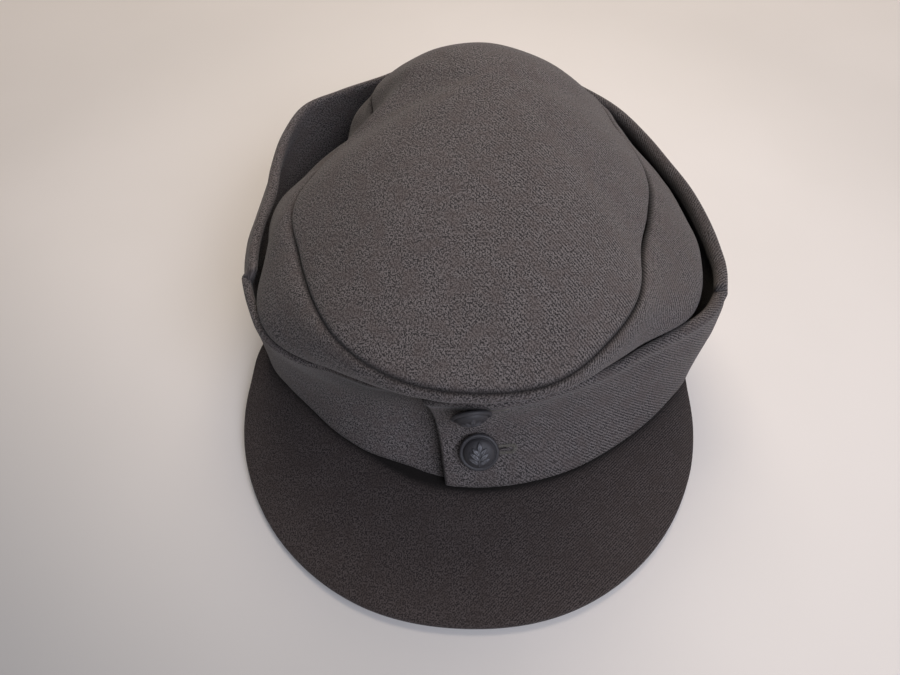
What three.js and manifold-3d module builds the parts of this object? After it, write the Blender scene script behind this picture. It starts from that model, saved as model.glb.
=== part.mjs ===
// A soft field cap of grey wool twill, lying on its rim. Units are millimetres, +Z is up.
// The origin is the middle of the head opening on the surface; -Y is the front, +X the wearer's left.
// Turn angles are degrees about +Z, counted from the front towards the wearer's left.
import * as THREE from "three";
import { mergeVertices } from "three/addons/utils/BufferGeometryUtils.js";
import Module from "manifold-3d";

const wasm = await Module();
wasm.setup();

// ---- Sizes ----
const RIM_LONG = 95; // half length of the outer rim oval
const RIM_WIDE = 90; // half width of the outer rim oval
const CROWN_CLOTH = 2.2; // outer cloth and lining of the crown together
const TOP_CLOTH = 2.2;
const FLAP_CLOTH = 2.8; // two layers of cloth
const VISOR_THICK = 3.0; // stiffener with cloth on both sides
const GAP = 0.3; // air between two sewn pieces
const VISOR_ROOT = 0.2; // how far the visor's underside sits above the rim's lower edge
const VISOR_X = -2.4; // the visor lies a little off the middle
const TIP_X = 1; // the summit of the top panel
const TIP_Y = 28;
const TIP_Z = 110;
const BROW = 0.62; // where the roll swells most, as a share of the way from the bulge to the seam
const LAP_FROM = -5.5; // turn of the buttoned end's edge at its foot
const LAP_LEAN = 7; // degrees by which that edge leans further round towards the lip
const LEAN_OVER = 20; // degrees over which the cloth takes up the lean
const LAP_TO = 14; // turn of the hidden end's edge
const LAP_DROP = FLAP_CLOTH + 0.45; // how far the hidden end sits inside the buttoned one
const LAP_EASE = 14; // degrees over which the hidden end comes out again
const EDGE_SHORT = 0.05; // share of the face cut off below where the hidden end dips under the other
const HIDDEN_SHORT = 0.16; // the same further in, where nothing shows
const HIDDEN_TURN = 4; // degrees in which the one grows to the other
const NOTCH = 68; // turn of the step in the flap's edge, both sides
const BUTTON_R = 7.7;
const BUTTON_LIFT = 1.9; // from the flap to the back of the button
const SHANK_R = 1.4;
const SLIT_REACH = 13.5; // from the shank to the end of the buttonhole
const SLIT_WIDE = 1.1;

// ---- Section tables, one row per turn ----
// Each table is a row of column names, then one row of numbers for every turn.
const table = (names, ...rows) =>
  rows.map((row) => Object.fromEntries(names.map((name, k) => [name, row[k]])));

// Crown. rim: lower edge; waist: narrowest place; neck: where the cloth folds over the flap;
// bulge: widest place of the roll; puff: how far the roll below the seam swells;
// seam: edge of the top panel; fall: how late the top panel drops on its way to the seam;
// fold: how far out the top panel folds over; step: share of its drop that comes past the fold.
const CROWN = table(
  [
    ...["turn", "rimZ", "waistR", "waistZ", "neckR", "neckZ"],
    ...["bulgeR", "bulgeZ", "puff", "seamR", "seamZ", "fall", "fold", "step"],
  ],
  [0, 17, 83, 37, 83.4, 56.5, 98, 71.6, 1.8, 100, 79.5, 2, 0.95, 0],
  [15, 16.7, 83, 37, 82.9, 56.5, 96.6, 71.4, 2, 98.3, 79.5, 2, 0.95, 0],
  [30, 15.6, 84.5, 37, 85.3, 56.5, 92, 67, 2.2, 90, 80, 2, 0.95, 0],
  [45, 13.8, 87, 37, 87.6, 55, 90.6, 64, 2.2, 81.8, 80, 1.9, 0.95, 0],
  [60, 11.4, 89.5, 37, 93.5, 52, 97.2, 61, 2, 71, 80, 1.8, 0.95, 0],
  [75, 8.8, 89.5, 37, 92, 53, 92, 65, 1.5, 68.6, 80, 1.8, 0.95, 0],
  [90, 6.2, 88.8, 36, 88.5, 54, 86, 64, 1, 69, 80, 1.8, 0.95, 0],
  [105, 3.9, 89, 36, 87, 54, 82.5, 64, 0, 69.2, 79, 1.8, 0.95, 0],
  [120, 2, 89.8, 36, 86, 55, 79.5, 66, 0.8, 70.5, 77.5, 1.9, 0.95, 0],
  [135, 0.6, 91, 36, 87.5, 56, 82, 69, 1.5, 74.5, 80, 2.2, 0.95, 0],
  [150, 0, 92, 36, 90, 57, 85, 73, 1.5, 76.2, 83, 2.5, 0.9, 0],
  [180, 0, 93.5, 36, 91.5, 58, 87.5, 75, 1.5, 76, 87, 3, 0.65, 0],
  [205, 0, 92.5, 36, 91.5, 57, 87.5, 71.5, 1.2, 75, 87.5, 2.8, 0.62, 0.12],
  [215, 0.2, 92, 36, 91.3, 56, 87.5, 69, 0, 75.5, 85.5, 2, 0.6, 0.36],
  [225, 0.6, 91.5, 36, 89, 54, 84, 66, -2.5, 71, 83.5, 1.6, 0.61, 0.52],
  [232, 1.3, 90.5, 35, 83.5, 51, 76, 64, -1.5, 62, 82, 1.5, 0.7, 0.51],
  [240, 2, 89.8, 35, 84, 50, 76, 63.5, -1.5, 56.5, 80.5, 1.45, 0.81, 0.48],
  [255, 3.9, 89.2, 35, 86, 51, 79.5, 63.5, -1.5, 58, 81.5, 1.5, 0.93, 0.26],
  [263, 5, 89.2, 36, 87.8, 53, 83, 64, -0.5, 63, 82.4, 1.6, 0.95, 0.06],
  [270, 6.2, 89, 36, 89.5, 53, 86.4, 64.5, 0.5, 67.5, 82.5, 1.6, 0.95, 0],
  [285, 8.8, 89.7, 36, 92.5, 53, 91.5, 63.5, 2, 77, 81, 1.8, 0.95, 0],
  [300, 11.4, 91.5, 36, 97.2, 51, 99.9, 60.6, 2.6, 80, 80, 2, 0.95, 0],
  [308, 12.6, 91.5, 36.5, 97.6, 50, 101.2, 61.2, 2.4, 83, 79.7, 2, 0.95, 0],
  [315, 13.8, 89.5, 37, 94.8, 51, 99.8, 61.4, 2.3, 86.5, 79.5, 2, 0.95, 0],
  [330, 15.6, 84.5, 37, 87.1, 55, 95.6, 65.6, 2.2, 94.7, 79.3, 2, 0.95, 0],
  [345, 16.7, 83, 37, 84, 56.5, 96.6, 70.6, 2.2, 99.3, 79.3, 2, 0.95, 0],
);

// The flap's outer face. foot is its lower edge, lip its upper edge; low, mid and high lie between.
const FLAP_COLUMNS = ["turn", "foot", "low", "mid", "high", "lip", "footZ", "lipZ"];
const FLAP_FRONT = table(
  FLAP_COLUMNS,
  [-68, 101, 104, 103.3, 102.5, 101.4, 11.5, 61.5],
  [-60, 103, 103, 102.5, 103, 103.2, 13, 59.5],
  [-52, 101.3, 101, 101, 102.6, 104.7, 14.4, 57.6],
  [-43, 100.8, 97.5, 96.5, 98.7, 101.3, 16, 56.6],
  [-34, 102, 96.3, 93, 94, 96.2, 17.2, 58.8],
  [-24, 103.4, 95.4, 90.6, 91.3, 93.7, 18.5, 58.8],
  [-10, 107.4, 94.8, 89.6, 89.7, 91.5, 19.7, 57.5],
  [0, 108.2, 94.8, 89.6, 89.8, 91.4, 19.8, 57.5],
  [10, 107.6, 95, 89.6, 89.6, 90.9, 19.6, 57.5],
  [22, 106.4, 95.2, 89.8, 88.8, 89.8, 18.7, 57.5],
  [34, 104.8, 96.2, 91.5, 89.8, 90.5, 17.2, 57.5],
  [44, 104.6, 98, 94.2, 92, 92, 15.8, 58],
  [54, 105, 102.2, 100, 98.2, 97.6, 14.2, 59.5],
  [61, 105.8, 105.2, 104.6, 103.6, 102.8, 12.8, 61],
  [68, 104, 106.6, 107, 106.3, 104.6, 11.5, 62],
);

const FLAP_REAR = table(
  FLAP_COLUMNS,
  [68, 104, 106.6, 107.2, 106.6, 103.4, 11.5, 64.5],
  [74, 95.6, 102.2, 105.2, 104.8, 101.6, 9.8, 64.7],
  [80, 93.7, 99, 102, 101.6, 98.7, 8.2, 65],
  [90, 94, 95.8, 97.8, 97.3, 94.4, 6.5, 66],
  [100, 93.8, 95, 96.2, 94.7, 91, 4.9, 67],
  [110, 94.3, 95.2, 95.5, 92.8, 88.3, 3.5, 68],
  [122, 95.3, 95.8, 95.8, 93.2, 88.4, 2, 69],
  [135, 96.6, 96.8, 96.6, 94, 89.6, 0.9, 71],
  [150, 97.7, 97.8, 97.4, 95, 91, 0.3, 72.5],
  [165, 98.3, 98.4, 98, 96.8, 94.8, 0.3, 75.5],
  [180, 98.6, 98.8, 98.6, 98, 96.8, 0.3, 78],
  [195, 98.3, 98.7, 98.8, 98, 95.8, 0.3, 76.5],
  [210, 97.7, 98.3, 98.8, 98, 94, 0.3, 73],
  [224, 96.6, 98, 99.5, 100.3, 98.9, 0.9, 71],
  [234, 95.7, 98, 100.3, 102.4, 103.6, 1.7, 70],
  [244, 94.9, 97.3, 99.8, 101.6, 100.2, 2.8, 68.5],
  [255, 94.2, 96.5, 98.8, 99.3, 94.8, 4.2, 67],
  [266, 93.9, 96.3, 98.5, 98.6, 90.4, 5.8, 66],
  [278, 94.6, 97.5, 99.5, 99.8, 92.8, 8, 65.5],
  [292, 101, 104, 103.3, 102, 97.3, 11.5, 65],
);

// The visor's outer edge: its reach from the middle of the head opening, and its underside's height.
const VISOR = table(
  ["turn", "reach", "edgeZ"],
  [0, 155.2, 0.6],
  [15, 153.4, 0.4],
  [30, 145.2, 0],
  [45, 131.8, 0],
  [55, 120.6, 1],
  [62, 111.6, 3.2],
  [67, 106, 5.4],
  [71, 100, 7.2],
  [74, 94.5, 8.4],
);

const V3 = (x, y, z) => new THREE.Vector3(x, y, z);
const rad = (deg) => (deg * Math.PI) / 180;

// ---- Reading the tables ----
// Catmull-Rom through uneven knots, with the slope at a knot taken from its neighbours.
function column(rows, key, turn) {
  let i = 0;
  while (i < rows.length - 2 && turn > rows[i + 1].turn) i += 1;
  const slope = (k) => {
    const a = rows[Math.max(k - 1, 0)];
    const b = rows[Math.min(k + 1, rows.length - 1)];
    return (b[key] - a[key]) / (b.turn - a.turn);
  };
  const from = rows[i];
  const to = rows[i + 1];
  const span = to.turn - from.turn;
  const t = (turn - from.turn) / span;
  const h1 = t * t * (3 - 2 * t);
  const h2 = t * (1 - t) * (1 - t) * span;
  const h3 = t * t * (t - 1) * span;
  return from[key] * (1 - h1) + to[key] * h1 + slope(i) * h2 + slope(i + 1) * h3;
}

function allRound(rows) {
  const turned = (step) => rows.map((row) => ({ ...row, turn: row.turn + step }));
  return [...turned(-360), ...rows, ...turned(360)];
}
const CROWN_ROUND = allRound(CROWN);
const VISOR_BOTH = [...VISOR.slice(1).map((row) => ({ ...row, turn: -row.turn })).reverse(), ...VISOR];

const wrap = (turn) => turn - 360 * Math.floor((turn + 180) / 360);
const crown = (key, turn) => column(CROWN_ROUND, key, wrap(turn));
const visor = (key, turn) => column(VISOR_BOTH, key, turn);
const rimZ = (turn) => Math.max(0, crown("rimZ", turn)); // nothing reaches below the surface

function flap(key, turn) {
  const near = wrap(turn);
  if (Math.abs(near) <= NOTCH) return column(FLAP_FRONT, key, near);
  return column(FLAP_REAR, key, near < 0 ? near + 360 : near);
}

function rimR(turn) {
  const s = Math.sin(rad(turn)) / RIM_WIDE;
  const c = Math.cos(rad(turn)) / RIM_LONG;
  return 1 / Math.hypot(s, c);
}

const around = (turn, r, z) => V3(r * Math.sin(rad(turn)), -r * Math.cos(rad(turn)), z);

// ---- Surfaces ----
// Side of the crown: t runs from the rim (0) to the seam (1) along the cloth.
function sideSection(turn, steps) {
  const v = (key) => crown(key, turn);
  const seam = new THREE.Vector2(v("seamR"), v("seamZ"));
  const bulge = new THREE.Vector2(v("bulgeR"), v("bulgeZ"));
  const chord = seam.clone().sub(bulge);
  const out = new THREE.Vector2(chord.y, -chord.x).normalize();
  const brow = bulge.clone().addScaledVector(chord, BROW).addScaledVector(out, v("puff"));
  const knots = [
    new THREE.Vector2(rimR(turn), rimZ(turn)),
    new THREE.Vector2(v("waistR"), v("waistZ")),
    new THREE.Vector2(v("neckR"), v("neckZ")),
    bulge,
    brow,
    seam,
  ].map((p) => V3(p.x, p.y, 0));
  const line = new THREE.CatmullRomCurve3(knots, false, "centripetal");
  return line.getSpacedPoints(steps).map((p) => around(turn, p.x, p.y));
}

// 0 before the fold, then a straight rise, with a tight bend between them.
const FOLD_BEND = 0.025;
const bent = (t, fold) => FOLD_BEND * Math.log1p(Math.exp((t - fold) / FOLD_BEND));

// Top panel: t runs from the summit (0) to the seam (1).
function topPoint(turn, t) {
  const seam = around(turn, crown("seamR", turn), crown("seamZ", turn));
  const [fall, fold, step] = ["fall", "fold", "step"].map((key) => crown(key, turn));
  const drop = (1 - step) * Math.pow(t, fall) + (step * bent(t, fold)) / bent(1, fold);
  const p = V3(TIP_X, TIP_Y, 0).lerp(V3(seam.x, seam.y, 0), t);
  p.z = TIP_Z + (seam.z - TIP_Z) * drop;
  return p;
}

const FACE_LOW = 0.25; // heights of the low, mid and high columns, as shares of the flap's height
const FACE_MID = 0.55;
const FACE_HIGH = 0.8;

// A point on the flap's outer face; share runs from the foot (0) to the lip (1) along the cloth.
function flapPoint(turn, share) {
  const v = (key) => flap(key, turn);
  const low = v("footZ");
  const tall = v("lipZ") - low;
  const knots = [
    V3(v("foot"), low, 0),
    V3(v("low"), low + FACE_LOW * tall, 0),
    V3(v("mid"), low + FACE_MID * tall, 0),
    V3(v("high"), low + FACE_HIGH * tall, 0),
    V3(v("lip"), low + tall, 0),
  ];
  const p = new THREE.CatmullRomCurve3(knots, false, "centripetal").getPointAt(share);
  return around(turn, p.x, p.y);
}

// The buttoned end's edge leans over, and the cloth behind it with it.
function leaned(turn, share) {
  if (turn > -180) return turn;
  const near = turn + 360;
  return turn - LAP_LEAN * share * (1 - THREE.MathUtils.smoothstep(near, LAP_FROM, LAP_FROM + LEAN_OVER));
}

// How much of the tuck under the buttoned end is there at a turn, from 0 to 1.
function tuck(turn) {
  const full = LAP_FROM - LAP_LEAN;
  return THREE.MathUtils.smoothstep(turn, full - LAP_EASE, full);
}

function shortBelow(turn) {
  const deeper = THREE.MathUtils.smoothstep(turn, LAP_FROM, LAP_FROM + HIDDEN_TURN);
  return EDGE_SHORT * tuck(turn) + (HIDDEN_SHORT - EDGE_SHORT) * deeper;
}

// ---- Solids from grids ----
// Normals of a grid of points [i][j], pointing to the side where i x j points.
function gridNormals(grid, closed) {
  const n = grid.length;
  const at = (i) => (closed ? grid[(i + n) % n] : grid[Math.min(Math.max(i, 0), n - 1)]);
  return grid.map((row, i) =>
    row.map((_, j) => {
      const du = at(i + 1)[j].clone().sub(at(i - 1)[j]);
      const dv = row[Math.min(j + 1, row.length - 1)].clone().sub(row[Math.max(j - 1, 0)]);
      return du.cross(dv).normalize();
    }),
  );
}

const shifted = (grid, normals, by) =>
  grid.map((row, i) => row.map((p, j) => p.clone().addScaledVector(normals[i][j], by)));

// One closed body between two grids of the same size. closed joins the last column to the first.
function between(outer, inner, closed) {
  const n = outer.length;
  const m = outer[0].length;
  const verts = [];
  for (const grid of [outer, inner]) for (const row of grid) for (const p of row) verts.push(p.x, p.y, p.z);
  const id = (side, i, j) => side * n * m + (i % n) * m + j;
  const tris = [];
  const quad = (a, b, c, d) => tris.push(a, b, c, a, c, d);
  const last = closed ? n : n - 1;
  for (let i = 0; i < last; i += 1) {
    for (let j = 0; j < m - 1; j += 1) {
      quad(id(0, i, j), id(0, i + 1, j), id(0, i + 1, j + 1), id(0, i, j + 1));
      quad(id(1, i, j), id(1, i, j + 1), id(1, i + 1, j + 1), id(1, i + 1, j));
    }
    quad(id(0, i, 0), id(1, i, 0), id(1, i + 1, 0), id(0, i + 1, 0));
    quad(id(0, i, m - 1), id(0, i + 1, m - 1), id(1, i + 1, m - 1), id(1, i, m - 1));
  }
  if (!closed) {
    for (let j = 0; j < m - 1; j += 1) {
      quad(id(0, 0, j), id(0, 0, j + 1), id(1, 0, j + 1), id(1, 0, j));
      quad(id(0, n - 1, j), id(1, n - 1, j), id(1, n - 1, j + 1), id(0, n - 1, j + 1));
    }
  }
  return solidOf(verts, tris);
}

function solidOf(verts, tris) {
  const mesh = new wasm.Mesh({
    numProp: 3,
    vertProperties: Float32Array.from(verts),
    triVerts: Uint32Array.from(tris),
  });
  return new wasm.Manifold(mesh);
}

function toGeometry(solid) {
  const mesh = solid.getMesh();
  const geometry = new THREE.BufferGeometry();
  geometry.setAttribute("position", new THREE.BufferAttribute(mesh.vertProperties, 3));
  geometry.setIndex(new THREE.BufferAttribute(mesh.triVerts, 1));
  return geometry;
}

// A three.js shape as a solid, with its doubled vertices joined.
function mergedSolid(geometry) {
  const bare = new THREE.BufferGeometry();
  bare.setAttribute("position", geometry.toNonIndexed().getAttribute("position"));
  const merged = mergeVertices(bare, 1e-4);
  const index = Array.from(merged.index.array);
  const tris = [];
  for (let k = 0; k < index.length; k += 3) {
    const [a, b, c] = index.slice(k, k + 3);
    if (a !== b && b !== c && a !== c) tris.push(a, b, c);
  }
  return solidOf(merged.attributes.position.array, tris);
}

// ---- Crown ----
const CROWN_TURNS = Array.from({ length: 60 }, (_, i) => i * 6);
const SIDE_STEPS = 10;
const TOP_STEPS = 7;

// How the two crown panels meet: the line of the seam, and the way into the groove.
function seamFrame(turn) {
  const side = sideSection(turn, 40);
  const seam = side[40];
  const fromSide = seam.clone().sub(side[38]).normalize();
  const toTop = topPoint(turn, 0.96).sub(seam).normalize();
  const along = sideSection(turn + 1, 40)[40].sub(seam);
  const nSide = along.clone().cross(fromSide).normalize();
  const nTop = along.clone().cross(toTop).normalize();
  const inward = nSide.add(nTop).normalize().negate();
  const across = fromSide.add(toTop).normalize();
  return { inward, across };
}

function crownSide() {
  const outer = CROWN_TURNS.map((turn) => sideSection(turn, SIDE_STEPS));
  const normals = gridNormals(outer, true);
  const inner = shifted(outer, normals, -CROWN_CLOTH);
  CROWN_TURNS.forEach((turn, i) => {
    const { inward, across } = seamFrame(turn);
    outer[i][SIDE_STEPS].addScaledVector(across, -GAP / 2);
    inner[i][SIDE_STEPS] = outer[i][SIDE_STEPS].clone().addScaledVector(inward, CROWN_CLOTH);
    const level = outer[i][0];
    inner[i][0] = around(turn, rimR(turn) - CROWN_CLOTH, level.z);
  });
  return between(outer, inner, true);
}

function crownTop() {
  const n = CROWN_TURNS.length;
  const rings = CROWN_TURNS.map((turn) =>
    Array.from({ length: TOP_STEPS }, (_, j) => topPoint(turn, (j + 1) / TOP_STEPS)),
  );
  const normals = gridNormals(rings, true).map((row) => row.map((v) => v.negate()));
  const under = shifted(rings, normals, -TOP_CLOTH);
  const last = TOP_STEPS - 1;
  CROWN_TURNS.forEach((turn, i) => {
    const { inward, across } = seamFrame(turn);
    rings[i][last].addScaledVector(across, GAP / 2);
    under[i][last] = rings[i][last].clone().addScaledVector(inward, TOP_CLOTH);
  });
  const verts = [TIP_X, TIP_Y, TIP_Z, TIP_X, TIP_Y, TIP_Z - TOP_CLOTH];
  for (const grid of [rings, under]) for (const row of grid) for (const p of row) verts.push(p.x, p.y, p.z);
  const id = (side, i, j) => 2 + side * n * TOP_STEPS + (i % n) * TOP_STEPS + j;
  const tris = [];
  const quad = (a, b, c, d) => tris.push(a, b, c, a, c, d);
  for (let i = 0; i < n; i += 1) {
    tris.push(0, id(0, i, 0), id(0, i + 1, 0));
    tris.push(1, id(1, i + 1, 0), id(1, i, 0));
    for (let j = 0; j < last; j += 1) {
      quad(id(0, i, j), id(0, i, j + 1), id(0, i + 1, j + 1), id(0, i + 1, j));
      quad(id(1, i, j), id(1, i + 1, j), id(1, i + 1, j + 1), id(1, i, j + 1));
    }
    quad(id(0, i, last), id(1, i, last), id(1, i + 1, last), id(0, i + 1, last));
  }
  return solidOf(verts, tris);
}

// ---- Visor ----
const VISOR_STEPS = 6;
const VISOR_COLUMNS = 37;
const VISOR_END = 72; // turn at which the visor stops, both sides
const VISOR_SWELL = 0.8; // how far its middle stands above a straight slope
const SWELL_FULL = 40; // the visor is this wide where the swell is complete

const visorTurns = (end) =>
  Array.from({ length: VISOR_COLUMNS }, (_, i) => end * ((2 * i) / (VISOR_COLUMNS - 1) - 1));

function visorPoint(turn, t, drop) {
  const inner = rimR(turn) + GAP;
  const outer = visor("reach", turn);
  const top = rimZ(turn) + VISOR_THICK + VISOR_ROOT;
  const edge = Math.max(0, visor("edgeZ", turn)) + VISOR_THICK;
  const swell = VISOR_SWELL * Math.sin(Math.PI * t) * Math.min(1, (outer - inner) / SWELL_FULL);
  const p = around(turn, inner + (outer - inner) * t, top + (edge - top) * t + swell - drop);
  p.x += VISOR_X * t;
  return p;
}

// The room the visor takes, with a little air above it, for trimming what rests on it.
function visorRoom() {
  const turns = visorTurns(VISOR_END + 1.5);
  const steps = Array.from({ length: VISOR_STEPS + 1 }, (_, j) => 1 - j / VISOR_STEPS);
  const above = turns.map((turn) => steps.map((t) => visorPoint(turn, t, -GAP)));
  const below = turns.map((turn) => steps.map((t) => visorPoint(turn, t, 3 * VISOR_THICK)));
  return between(above, below, false);
}

function peak() {
  const turns = visorTurns(VISOR_END);
  const steps = Array.from({ length: VISOR_STEPS + 1 }, (_, j) => 1 - j / VISOR_STEPS);
  const outer = turns.map((turn) => steps.map((t) => visorPoint(turn, t, 0)));
  const inner = turns.map((turn) => steps.map((t) => visorPoint(turn, t, VISOR_THICK)));
  return between(outer, inner, false);
}

// ---- Flap ----
const FLAP_STEPS = 8;

// Turns run from the hidden end, back round the head and on to the buttoned end.
function flapTurns() {
  const turns = [];
  for (let turn = LAP_TO; turn > -NOTCH; turn -= 5) turns.push(turn);
  turns.push(-NOTCH);
  turns.push(-NOTCH - 0.8);
  for (let turn = -NOTCH - 5; turn > NOTCH - 358; turn -= 6) turns.push(turn);
  turns.push(NOTCH + 0.8 - 360);
  turns.push(NOTCH - 360);
  for (let turn = NOTCH - 5 - 360; turn > LAP_FROM - 358; turn -= 5) turns.push(turn);
  turns.push(LAP_FROM - 360);
  return turns;
}

// The grid of the flap's outer face, moved outwards by out(turn) along its own normals.
// short(turn) is the share of the face left out at the foot.
function flapGrid(turns, steps, out, short) {
  const grid = turns.map((turn) =>
    Array.from({ length: steps + 1 }, (_, j) => {
      const share = short(turn) + (1 - short(turn)) * (j / steps);
      return flapPoint(leaned(turn, share), share);
    }),
  );
  const normals = gridNormals(grid, false);
  return grid.map((row, i) => row.map((p, j) => p.clone().addScaledVector(normals[i][j], -out(turns[i]))));
}

// Along the hidden end the whole flap sits further in and starts a little higher.
function earFlap(cuts) {
  const turns = flapTurns();
  const tuckedAt = (turn) => (turn > -180 ? LAP_DROP * tuck(turn) : 0);
  const shortAt = (turn) => (turn > -180 ? shortBelow(turn) : 0);
  const outer = flapGrid(turns, FLAP_STEPS, (turn) => -tuckedAt(turn), shortAt);
  const inner = flapGrid(turns, FLAP_STEPS, (turn) => -tuckedAt(turn) - FLAP_CLOTH, shortAt);
  return cuts.reduce((body, cut) => body.subtract(cut), between(inner, outer, false));
}

// ---- Buttons ----
// A frame on the buttoned end of the flap: where a button sits and which way it faces.
// down and side tip its face that many degrees down and towards the wearer's left.
function seat(turn, height, down, side) {
  const steps = 60;
  const section = (at) => Array.from({ length: steps + 1 }, (_, j) => flapPoint(at, j / steps));
  const here = section(turn);
  let j = 1;
  while (j < steps - 1 && here[j].z < height) j += 1;
  const along = section(turn + 1)[j].sub(here[j]);
  const up = here[j + 1].clone().sub(here[j - 1]);
  const face = along.clone().cross(up).normalize();
  face.applyAxisAngle(along.normalize(), rad(down));
  face.applyAxisAngle(up.normalize(), rad(side));
  return { at: here[j], face };
}

function placed(geometry, place, lift) {
  const turnTo = new THREE.Quaternion().setFromUnitVectors(V3(0, 0, 1), place.face);
  geometry.applyQuaternion(turnTo);
  const at = place.at.clone().addScaledVector(place.face, lift);
  geometry.translate(at.x, at.y, at.z);
  return geometry;
}

function lathe(points, segments) {
  const outline = points.map(([r, z]) => new THREE.Vector2(r, z));
  const geometry = new THREE.LatheGeometry(outline, segments);
  geometry.rotateX(Math.PI / 2);
  return geometry;
}

const BUTTON_SIDES = 24;
const BUTTON_PROFILE = [
  [0, -BUTTON_LIFT - FLAP_CLOTH + 0.1],
  [SHANK_R, -BUTTON_LIFT - FLAP_CLOTH + 0.1],
  [SHANK_R, 0],
  [6.6, 0],
  [7.4, 0.3],
  [BUTTON_R, 0.9],
  [7.4, 1.5],
  [6.8, 1.6],
  [6.3, 1.9],
  [5.2, 2.9],
  [3.6, 3.7],
  [1.8, 4.2],
  [0, 4.3],
];

const UPPER = seat(-1.3, 51.6, 7, 10);
const LOWER = seat(1.2, 28.5, 0, 0);

function button(place) {
  return mergedSolid(placed(lathe(BUTTON_PROFILE, BUTTON_SIDES), place, BUTTON_LIFT));
}

// The buttoned end's own layer of cloth near the buttons.
// A buttonhole is cut through this layer and stops short of the one below.
function buttonedLayer() {
  const turns = Array.from({ length: 15 }, (_, i) => 16 - 1.5 * i);
  const above = flapGrid(turns, 24, () => 1, () => 0);
  const below = flapGrid(turns, 24, () => -FLAP_CLOTH - 0.2, () => 0);
  return between(below, above, false);
}

function buttonhole(place) {
  const side = V3(0, 0, 1).cross(place.face).normalize();
  const up = place.face.clone().cross(side);
  const frame = new THREE.Matrix4().makeBasis(side, up, place.face).setPosition(place.at);
  const slit = new THREE.BoxGeometry(SLIT_REACH, SLIT_WIDE, 14).translate(SLIT_REACH / 2, 0, 0);
  const eye = new THREE.CylinderGeometry(SHANK_R + 0.4, SHANK_R + 0.4, 14, 14).rotateX(Math.PI / 2);
  const parts = [slit, eye].map((shape) => mergedSolid(shape.applyMatrix4(frame)));
  return parts[0].add(parts[1]).intersect(buttonedLayer());
}

// ---- Assembly ----
const CLOTH_GREY = { color: "#5d5c5c", roughness: 0.95, metalness: 0 };
const VISOR_GREY = { color: "#4d4b49", roughness: 0.95, metalness: 0 };
const BUTTON_GREY = { color: "#5b6068", roughness: 0.5, metalness: 0.7 };

function named(name, solid, look) {
  const mesh = new THREE.Mesh(toGeometry(solid), new THREE.MeshStandardMaterial(look));
  mesh.name = name;
  return mesh;
}

const cap = new THREE.Group();
cap.add(named("crown_side", crownSide(), CLOTH_GREY));
cap.add(named("crown_top", crownTop(), CLOTH_GREY));
cap.add(named("peak", peak(), VISOR_GREY));
cap.add(named("ear_flap", earFlap([visorRoom(), buttonhole(UPPER), buttonhole(LOWER)]), CLOTH_GREY));
cap.add(named("button_upper", button(UPPER), BUTTON_GREY));
cap.add(named("button_lower", button(LOWER), BUTTON_GREY));

export default cap;
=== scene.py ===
"""A soft field cap of grey wool twill with a stiffened visor, lying on its rim.

The section tables are in millimetres. Turn angles are degrees about +Z, counted from the front
towards the wearer's left. Meshes are in metres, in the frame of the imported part.
"""

import math

import bmesh
import bpy
import numpy as np
from bpy.props import FloatProperty, FloatVectorProperty, PointerProperty
from bpy.types import Operator, Panel, PropertyGroup
from mathutils import Matrix, Quaternion, Vector


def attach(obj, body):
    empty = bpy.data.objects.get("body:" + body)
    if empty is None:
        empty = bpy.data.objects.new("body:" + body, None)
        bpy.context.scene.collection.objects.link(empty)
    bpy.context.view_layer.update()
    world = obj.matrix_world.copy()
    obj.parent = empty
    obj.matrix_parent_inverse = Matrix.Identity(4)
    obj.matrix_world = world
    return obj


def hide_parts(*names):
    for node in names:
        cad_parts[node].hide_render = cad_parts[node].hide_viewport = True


bl_info = {
    "name": "Peaked Field Cap",
    "version": (1, 0, 0),
    "blender": (4, 5, 0),
    "location": "3D View > Sidebar > Cap",
    "description": "Makes a grey twill field cap with a visor, a buttoned flap and a plain stage",
    "category": "Add Mesh",
}

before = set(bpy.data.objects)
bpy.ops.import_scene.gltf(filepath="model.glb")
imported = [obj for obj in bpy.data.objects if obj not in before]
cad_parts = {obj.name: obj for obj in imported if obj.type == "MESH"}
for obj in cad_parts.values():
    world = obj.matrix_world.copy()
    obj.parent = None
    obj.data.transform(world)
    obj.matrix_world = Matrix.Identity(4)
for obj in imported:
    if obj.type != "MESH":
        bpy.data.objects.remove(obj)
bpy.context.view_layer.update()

# ---- Sizes that the shapes share: millimetres, degrees, and shares of a length ----
MM = 0.001  # metres in a millimetre
RIM_LONG, RIM_WIDE = 95.0, 90.0  # half of the rim's length and of its width
GAP = 0.3  # air between two pieces of cloth
ROLL_ROWS = 6  # rows of points round an edge that rolls over
BACK_DIP, BACK_WIDE = 0.8, 1.1  # depth and width of the seams down the back

# Crown
CROWN_COLUMNS = 361
TIP = (1.0, 28.0, 110.0)  # summit of the top panel
TOP_RUN = 85.0  # usual length from the summit to the seam
FOLD_BEND = 0.025  # tightness of the top panel's fold
BROW = 0.62  # where the side puffs out on its way from the bulge to the seam
SEAM_FROM = 4.0  # distance from the seam at which the even rows of points end
SEAM_ROWS = np.array([3.6, 3.1, 2.6, 2.1, 1.7, 1.35, 1.0, 0.7, 0.45, 0.25, 0.1, 0.0])
SEAM_DIP, SEAM_DIP_WIDE = 0.7, 3.4  # how far the cloth sinks beside the seam
SEAM_DIP_LESS = 0.6  # how much less it sinks in front
SIDE_RADIUS = 92.0  # how far out the weave is measured round the side
SIDE_LEAN = 20.0  # turn of the weave on the side
# Where the side is pushed out or in: turn, height, how wide, how tall, how far
PUSHES = (
    (-45, 59, 15, 7, 1.3),
    (-71, 60, 10, 11, -2.4),
    (-20, 67, 20, 7, 2.4),
)

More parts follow.
